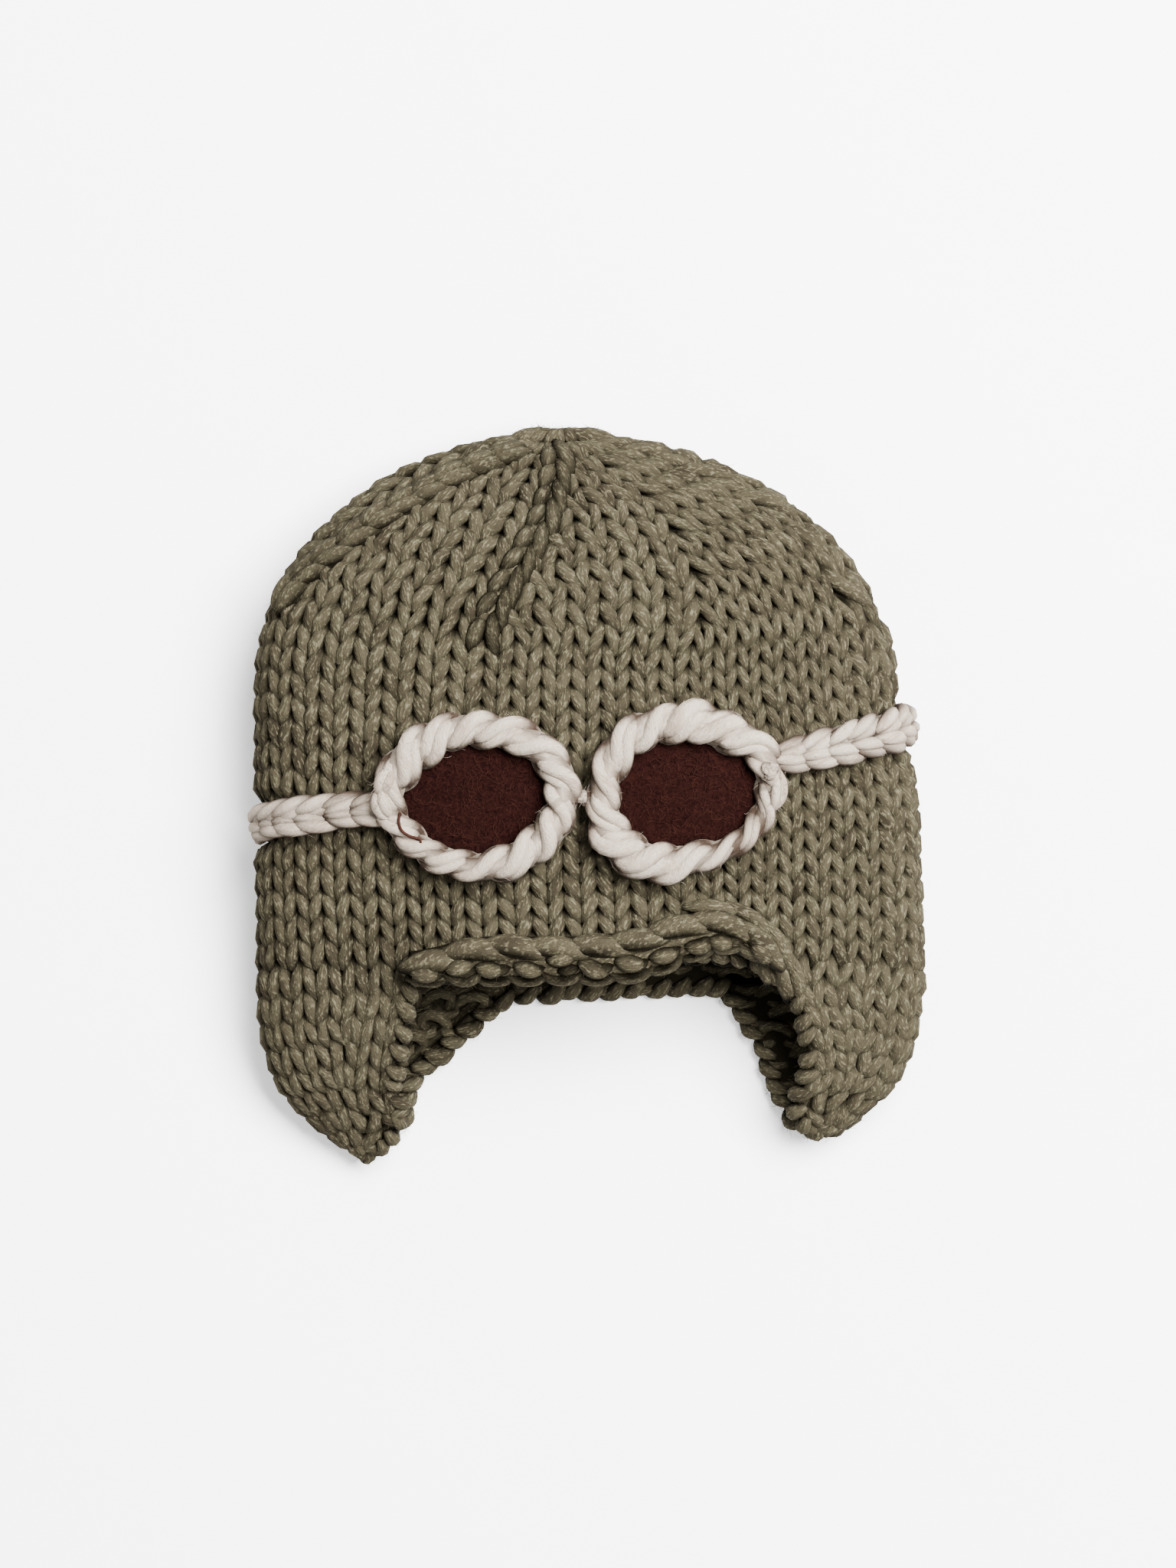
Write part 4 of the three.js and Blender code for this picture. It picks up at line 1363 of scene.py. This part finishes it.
path = strap_path()
strap_links = plied(chain_links(path, LINK_PITCH, 1.75, 3.1, (-2.2, 0.5)), 0.015)
strap = make_yarn("goggle_strap_chain", strap_links, cream_wool, CREAM_TWIST)
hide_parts("goggle_strap")
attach(strap, "root")
print("strap length", round(path["total"]), "mm")

# %% [markdown]
# ## The line of the forehead band
# The front edge of the hat rolls up into a thick band. Its strands lie on a round cord, so we
# need points by how far along it and where around it they are.

# %% Path of the band
BAND_THICKNESS = 8.5
BAND_GAP = 0.4
# Columns: x, y and width along the band
BAND = np.array([
    [-45.4, -44.1, 8.4], [-38.6, -43.5, 11.4], [-27.0, -41.6, 14.6], [-6.6, -41.5, 14.2],
    [4.6, -41.0, 15.2], [13.6, -40.0, 15.0], [23.0, -36.7, 14.5], [31.0, -34.9, 13.0],
    [37.4, -35.4, 11.0], [43.2, -38.1, 8.6], [46.8, -41.2, 7.4],
])


def band_path():
    x = np.linspace(BAND[0, 0], BAND[-1, 0], 80)
    width = column_at(BAND, 2, x)
    path = path_on_knit(*knit_below(x, column_at(BAND, 1, x)),
                        BAND_GAP + np.minimum(BAND_THICKNESS, width) / 2, False)
    path["width"] = width
    return path


def round_band(path, along, turn, inset):
    """Point on the round band: turn 0 faces up, 90 degrees is the crown side."""
    width = width_at(path, along)
    thickness = np.minimum(BAND_THICKNESS, width)

    def place(below):
        return on_path(path, along, (width / 2 - below) * np.sin(turn),
                       (thickness / 2 - below) * np.cos(turn))[0]

    point = place(inset)
    return point, unit(place(inset - 1) - point)


path = band_path()
print("band length", round(path["total"]), "mm")

# %% [markdown]
# ## Forehead band
# Long slanting strands lie on its upper side, short plump loops sit below them with gaps between,
# dark from real shade and from painted shade, and small arcs close the lower edge. A few thick
# strands fill the inside. At its right end parallel legs lead on down the edge of the flap.

# %% Forehead band
BAND_PITCH = 8.6
TOP_PITCH = 11.4
# Filling of the band: share of its width off the middle, and mm below it
BAND_CORE = ((-0.16, 0), (0, 0), (0.16, 0), (-0.24, 1.7), (0.24, 1.7), (0, 3.2))
SWEEP = [(25.0, -30.6), (33.0, -29.4), (41.0, -31.6), (47.6, -36.6), (52.0, -43.6),
         (55.6, -52.0), (58.6, -61.0)]
# Lanes of the sweep: step across, first and last length
SWEEP_LANES = [(0.4, 0, 46), (-2.9, 7, 44), (-6.0, 12, 38)]


def band_strands(path):
    strands = []
    t = np.linspace(0, 1, 15)
    shape = plump(t, 0.5, 0.04)
    swing = np.sin(math.pi * t)

    # The depth of each strand sets its painted shade
    def lay(along, degrees, inset, radius, depth):
        point, away = round_band(path, along, np.radians(degrees), inset)
        strands.append((point, radius * shape, away, depth + 0 * along, False))

    count, pitch = even_pitch(path, TOP_PITCH)
    for k in range(count):
        own = random.normal(size=3)
        lay((k - 0.3 + (1.75 + 0.06 * own[1]) * t) * pitch, 76 - 6 * t - 56 * t * t + 4 * own[0],
            3.9 - 0.9 * shape, 3.3, 2.4)
    count, pitch = even_pitch(path, BAND_PITCH)
    for k in range(count):
        own = random.normal(size=6)
        lay((k + 0.02 + 0.86 * t) * pitch + 0.7 * own[1], -4 + 9 * own[2] - (22 + 16 * own[0]) * t,
            2.8 - 0.9 * shape, 2.45 + 0.12 * own[5], 2.4)
        lay((k + 0.3 + 0.7 * t) * pitch, -30 + 14 * t, 3.0 - 0.8 * shape, 1.7, 3.0)
        lay((k - 0.1 + 1.15 * t) * pitch + 0.6 * own[3], -34 - 42 * swing + 8 * own[4], 2.0,
            1.95, 2.3)
        lay((k - 0.1 + 1.2 * t) * pitch, -88 - 46 * swing + 4 * own[5], 2.0, 2.0, 2.3)
    return strands


def band_core(path):
    along = np.linspace(0.5, path["total"] - 0.5, 60)
    width = width_at(path, along)
    radius = np.minimum(BAND_THICKNESS, width) / 2 - 1.9
    places = [on_path(path, along, side * width, 0 * along - low) for side, low in BAND_CORE]
    # The depth of 3.0 gives the filling a painted shade
    return [(point, radius, away, 0 * along + 3.0, False) for point, away in places]


def sweep_strands():
    """Parallel legs that lead the right end of the band down the edge of the right flap."""
    path = edge_path(SWEEP, 1)
    strands = []
    for lane, (offset, low, last) in enumerate(SWEEP_LANES):
        while low < last - 6:
            high = min(low + 15.5, last)
            strands.append(leaf(path, (low, high), (offset + 1.1, offset - 0.9),
                                (2.7, 2.5 - 2.6 * (high == last)), 2.15, 1.9, 15))
            low += 10.5 + 0.6 * lane
    return strands


band_legs = band_strands(path) + band_core(path) + sweep_strands()
band_legs.append(small_knot(*surface(*on_front(-44.6, -45.2), -1.0), 2.7, 2.0, 0.5))
band = make_yarn("forehead_band_knit", band_legs, olive_wool)
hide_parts("forehead_band")
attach(band, "root")
print("strands of the band:", len(band_legs))

# %% [markdown]
# ## Felt
# Felt has no weave, only matted fibres in all directions, so its material is a coarse and a
# fine noise, multiplied, in two very dark browns. It is matt like the wool.

# %% Felt materials
FELT_RELIEF = 0.4


def felt_material():
    material, shader = fibrous_material("brown_felt", 1.0, 0.02, srgb(150, 80, 60))
    tree = material.node_tree
    place = add_node(tree, "TexCoord", {}).outputs["Object"]
    clumps, hairs = (
        add_node(tree, "TexNoise", {"Vector": place, "Scale": scale, "Detail": detail,
                                    "Distortion": distortion}).outputs["Fac"]
        for scale, detail, distortion in ((620, 4, 2.0), (1700, 2, 2.5)))
    both = add_node(tree, "Math", {0: clumps, 1: hairs}, operation="MULTIPLY").outputs[0]
    tones = add_node(tree, "ValToRGB", {"Fac": both})
    for element, position, color in zip(tones.color_ramp.elements, (0.15, 0.42),
                                        ((8, 2, 2), (28, 11, 8))):
        element.position = position
        element.color = srgb(*color)
    connect(material, shader, tones.outputs["Color"], both, 0.7, FELT_RELIEF)
    return material


brown_felt = felt_material()
# Its fourth colour is a painted shade, as for the yarns
felt_fibre = wool_material("felt_fibre", (24, 11, 8), (42, 22, 17), (64, 41, 32), (14, 6, 4),
                           0.5, 0.0)
print("felt materials:", brown_felt.name, felt_fibre.name)

# %% [markdown]
# ## Felt lenses
# Each lens is one flat piece of felt, cut a little larger than the opening of its rim and sewn
# under it. A square grid is drawn round into that outline and given the thickness of felt.

# %% Felt lenses
FELT_GAP = 0.4
FELT_THICKNESS = 1.8
FELT_TUCK = 1.6
FELT_SWELL = 0.5


def opening(goggle, turns):
    """How far the inner edge of a rim lies from the goggle's center."""
    return round_table(goggle["radius"], turns) - round_table(goggle["width"], turns) / 2


def felt_lens(side, goggle):
    bm = bmesh.new()
    bmesh.ops.create_grid(bm, x_segments=30, y_segments=30, size=1)
    for vert in bm.verts:
        u, v = vert.co.x, vert.co.y
        reach = max(abs(u), abs(v))
        angle = math.atan2(v, u)
        out = float(opening(goggle, np.array(angle / (2 * math.pi))) + FELT_TUCK) * reach
        share, rise = on_front(goggle["center"][0] + out * math.cos(angle),
                               goggle["center"][1] + out * math.sin(angle))
        swell = FELT_SWELL * (1 - reach ** 2)
        point = surface(share, rise, -(FELT_GAP + FELT_THICKNESS + swell))[0]
        vert.co = Vector(point.tolist()) * MM
    solid_sheet(bm, FELT_THICKNESS)
    bmesh.ops.recalc_face_normals(bm, faces=bm.faces)
    mesh = smooth_mesh(bm, bpy.data.meshes.new(f"{side}_felt_lens"))
    mesh.materials.append(brown_felt)
    return add_object(mesh.name, mesh)


def felt_cut(goggle):
    """Width, length and area in metres of a lens as it is cut from flat felt."""
    turns = np.arange(360) / 360
    reach = (opening(goggle, turns) + FELT_TUCK) * MM
    angle = 2 * math.pi * turns
    return np.ptp(reach * np.cos(angle)), np.ptp(reach * np.sin(angle)), (
        (reach ** 2).sum() * math.pi / 360)


lenses = {}
for side, goggle in GOGGLES.items():
    lens = lenses[side] = felt_lens(side, goggle)
    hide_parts(f"goggle_lens_{side}")
    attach(lens, "root")
    width, length, area = felt_cut(goggle)
    print(lens.name, "cut", round(width / MM, 1), "x", round(length / MM, 1), "mm, area",
          round(area * 1e6), "mm2")

# %% [markdown]
# ## Loose fibres of the wool
# Wool is never smooth: short hairs stand off every strand and soften its outline. Hair particles
# would be lost in the exported model, so a few thousand thin curved fibres are laid as mesh.
# Each one leaves its strand at a slant and bends back.

# %% Loose fibres
# Length in mm and radius of the hairs of each yarn
HAIR_SIZES = {"olive": (2.6, 0.045), "cream": (2.4, 0.04)}


def strand_hairs(strands, count, reach, thick):
    """Hairs that leave the outer side of some strands."""
    hairs = []
    for number in random.integers(len(strands), size=count):
        points, radii, normals = strands[number][:3]
        i = int(random.integers(1, len(points) - 1))
        ahead = unit(points[i + 1] - points[i - 1])
        turn = random.normal(0, 0.9)
        side = np.cross(ahead, normals[i])
        out = unit(normals[i] * math.cos(turn) + side * math.sin(turn))
        lean = unit(ahead * random.normal(0, 1.0) + side * random.normal(0, 0.5))
        root = points[i] + out * radii[i] * 0.9
        length = reach * random.uniform(0.4, 1.2)
        bend = out * random.uniform(0.15, 0.75) + lean
        middle = root + unit(bend) * length * 0.5
        tip = middle + unit(bend + 0.7 * random.normal(size=3)) * length * 0.5
        hairs.append((np.array([root, middle, tip]), np.array([thick, thick, thick * 0.4]),
                      np.tile(out, (3, 1)), np.zeros(3), False))
    return hairs


def add_hairs(piece, strands, count, yarn, material):
    hairs = strand_hairs(strands, count, *HAIR_SIZES[yarn])
    join_into(piece, [make_yarn("loose_fibres", hairs, material, sides=4)])
    print(piece.name, "hairs:", len(hairs))


for piece, strands, count in ((body, rounds[:BODY_ROUNDS], 1200),
                              (crown, rounds[BODY_ROUNDS:] + ridges, 1100),
                              (flaps[0], flap_rows["left"] + edges["left"], 500),
                              (flaps[1], flap_rows["right"] + edges["right"], 500),
                              (band, band_legs, 400)):
    add_hairs(piece, strands, count, "olive", olive_wool)
for piece, strands, count in ((strap, strap_links, 500), (rims["left"], rim_cords["left"], 400),
                              (rims["right"], rim_cords["right"], 400)):
    add_hairs(piece, strands, count, "cream", cream_wool)

# %% [markdown]
# ## Fibres of the lenses
# Felt sheds curly fibres that lie on its face. They are a piece of their own over each lens.
# The end of a dark sewing thread goes with the left ones.
# It lies over the rim, and rays from above find how high.

# %% Fibres of the lenses
FELT_HAIR_COUNT, FELT_HAIR_REACH, FELT_HAIR_RADIUS = 200, 4.0, 0.035
FELT_HAIR_LIFT = 0.45
# The end of the sewing thread on the left rim: x and y
THREAD = np.array([[-48.6, -4.6], [-49.0, -6.6], [-48.3, -9.0], [-46.4, -10.5], [-44.0, -11.3],
                   [-43.2, -12.2]])
THREAD_POINTS = 26
THREAD_RADIUS = 0.38
THREAD_LIFT = 0.45


def felt_hairs(goggle):
    """Curly hairs that lie on a felt lens."""
    hairs = []
    for _ in range(FELT_HAIR_COUNT):
        angle, out = random.uniform(0, 2 * math.pi), math.sqrt(random.uniform(0, 1))
        inner = float(opening(goggle, np.array(angle / (2 * math.pi)))) * out
        share, rise = on_front(goggle["center"][0] + inner * math.cos(angle),
                               goggle["center"][1] + inner * math.sin(angle))
        root, away = surface(share, rise, -(FELT_GAP + FELT_THICKNESS + FELT_HAIR_LIFT))
        ahead = unit(np.cross(away, random.normal(size=3)))
        side = np.cross(away, ahead)
        length, curl = FELT_HAIR_REACH * random.uniform(0.4, 1.2), random.uniform(0.6, 2.2)
        t = np.linspace(0, 1, 4)[:, None]
        line = (root + ahead * np.sin(curl * t) / curl * length
                + side * (1 - np.cos(curl * t)) / curl * length
                + away * 0.5 * np.sin(2.6 * t))
        hairs.append((line, np.full(4, FELT_HAIR_RADIUS), np.tile(away, (4, 1)), np.zeros(4),
                      False))
    return hairs


def loose_thread(support):
    """A thin thread laid on top of a piece."""
    tree = BVHTree.FromObject(support, bpy.context.evaluated_depsgraph_get())
    key, fine = np.arange(len(THREAD)), np.linspace(0, len(THREAD) - 1, THREAD_POINTS)
    x, y = (smooth_table(key, THREAD[:, k], fine) for k in range(2))
    hits = [tree.ray_cast(Vector((a * MM, b * MM, 0.1)), Vector((0, 0, -1)))[0]
            for a, b in zip(x, y)]
    z = np.array([hit.z / MM for hit in hits])
    z = np.convolve(np.pad(z, 2, mode="edge"), np.full(5, 0.2), mode="valid") + THREAD_LIFT
    away = np.tile([0.0, 0.0, 1.0], (THREAD_POINTS, 1))
    return (np.stack([x, y, z], axis=1), np.full(THREAD_POINTS, THREAD_RADIUS), away,
            np.zeros(THREAD_POINTS), False)


for side, goggle in GOGGLES.items():
    fibres = felt_hairs(goggle)
    if side == "left":
        fibres.append(loose_thread(rims[side]))
    fuzz = make_yarn(f"{side}_lens_fibres", fibres, felt_fibre, sides=4)
    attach(fuzz, "root")
    width, length, area = felt_cut(goggle)
    print(fuzz.name, len(fibres))

# %% [markdown]
# ## Table and light
# A pale seamless table and a large soft light keep the shadows as faint as in the photograph.
# The table glows a little, so that it comes out nearly white.

# %% Stage
WHITE = (1, 1, 1, 1)
LAMP_PLACE = (0.72, 0.52, 1.48)

bpy.ops.mesh.primitive_plane_add(size=6)
floor = bpy.context.object
floor.name = "pale_table"
floor.data.materials.append(new_material("pale_table", {
    "Base Color": (0.9, 0.9, 0.9, 1), "Emission Color": WHITE, "Emission Strength": 0.4,
    "Roughness": 0.9})[0])

world = bpy.data.worlds.new("soft_room")
world.use_nodes = True
world.node_tree.nodes["Background"].inputs["Color"].default_value = WHITE
world.node_tree.nodes["Background"].inputs["Strength"].default_value = 1.1
scene.world = world

lamp_data = bpy.data.lights.new("large_softbox", "AREA")
lamp_data.shape = "RECTANGLE"
lamp_data.size, lamp_data.size_y = 1.4, 1.0
lamp_data.energy = 286
lamp = add_object("large_softbox", lamp_data)
lamp.location = LAMP_PLACE
lamp.rotation_euler = (-lamp.location).to_track_quat("-Z", "Y").to_euler()
print("lamp at", LAMP_PLACE, "m with", lamp_data.energy, "W")
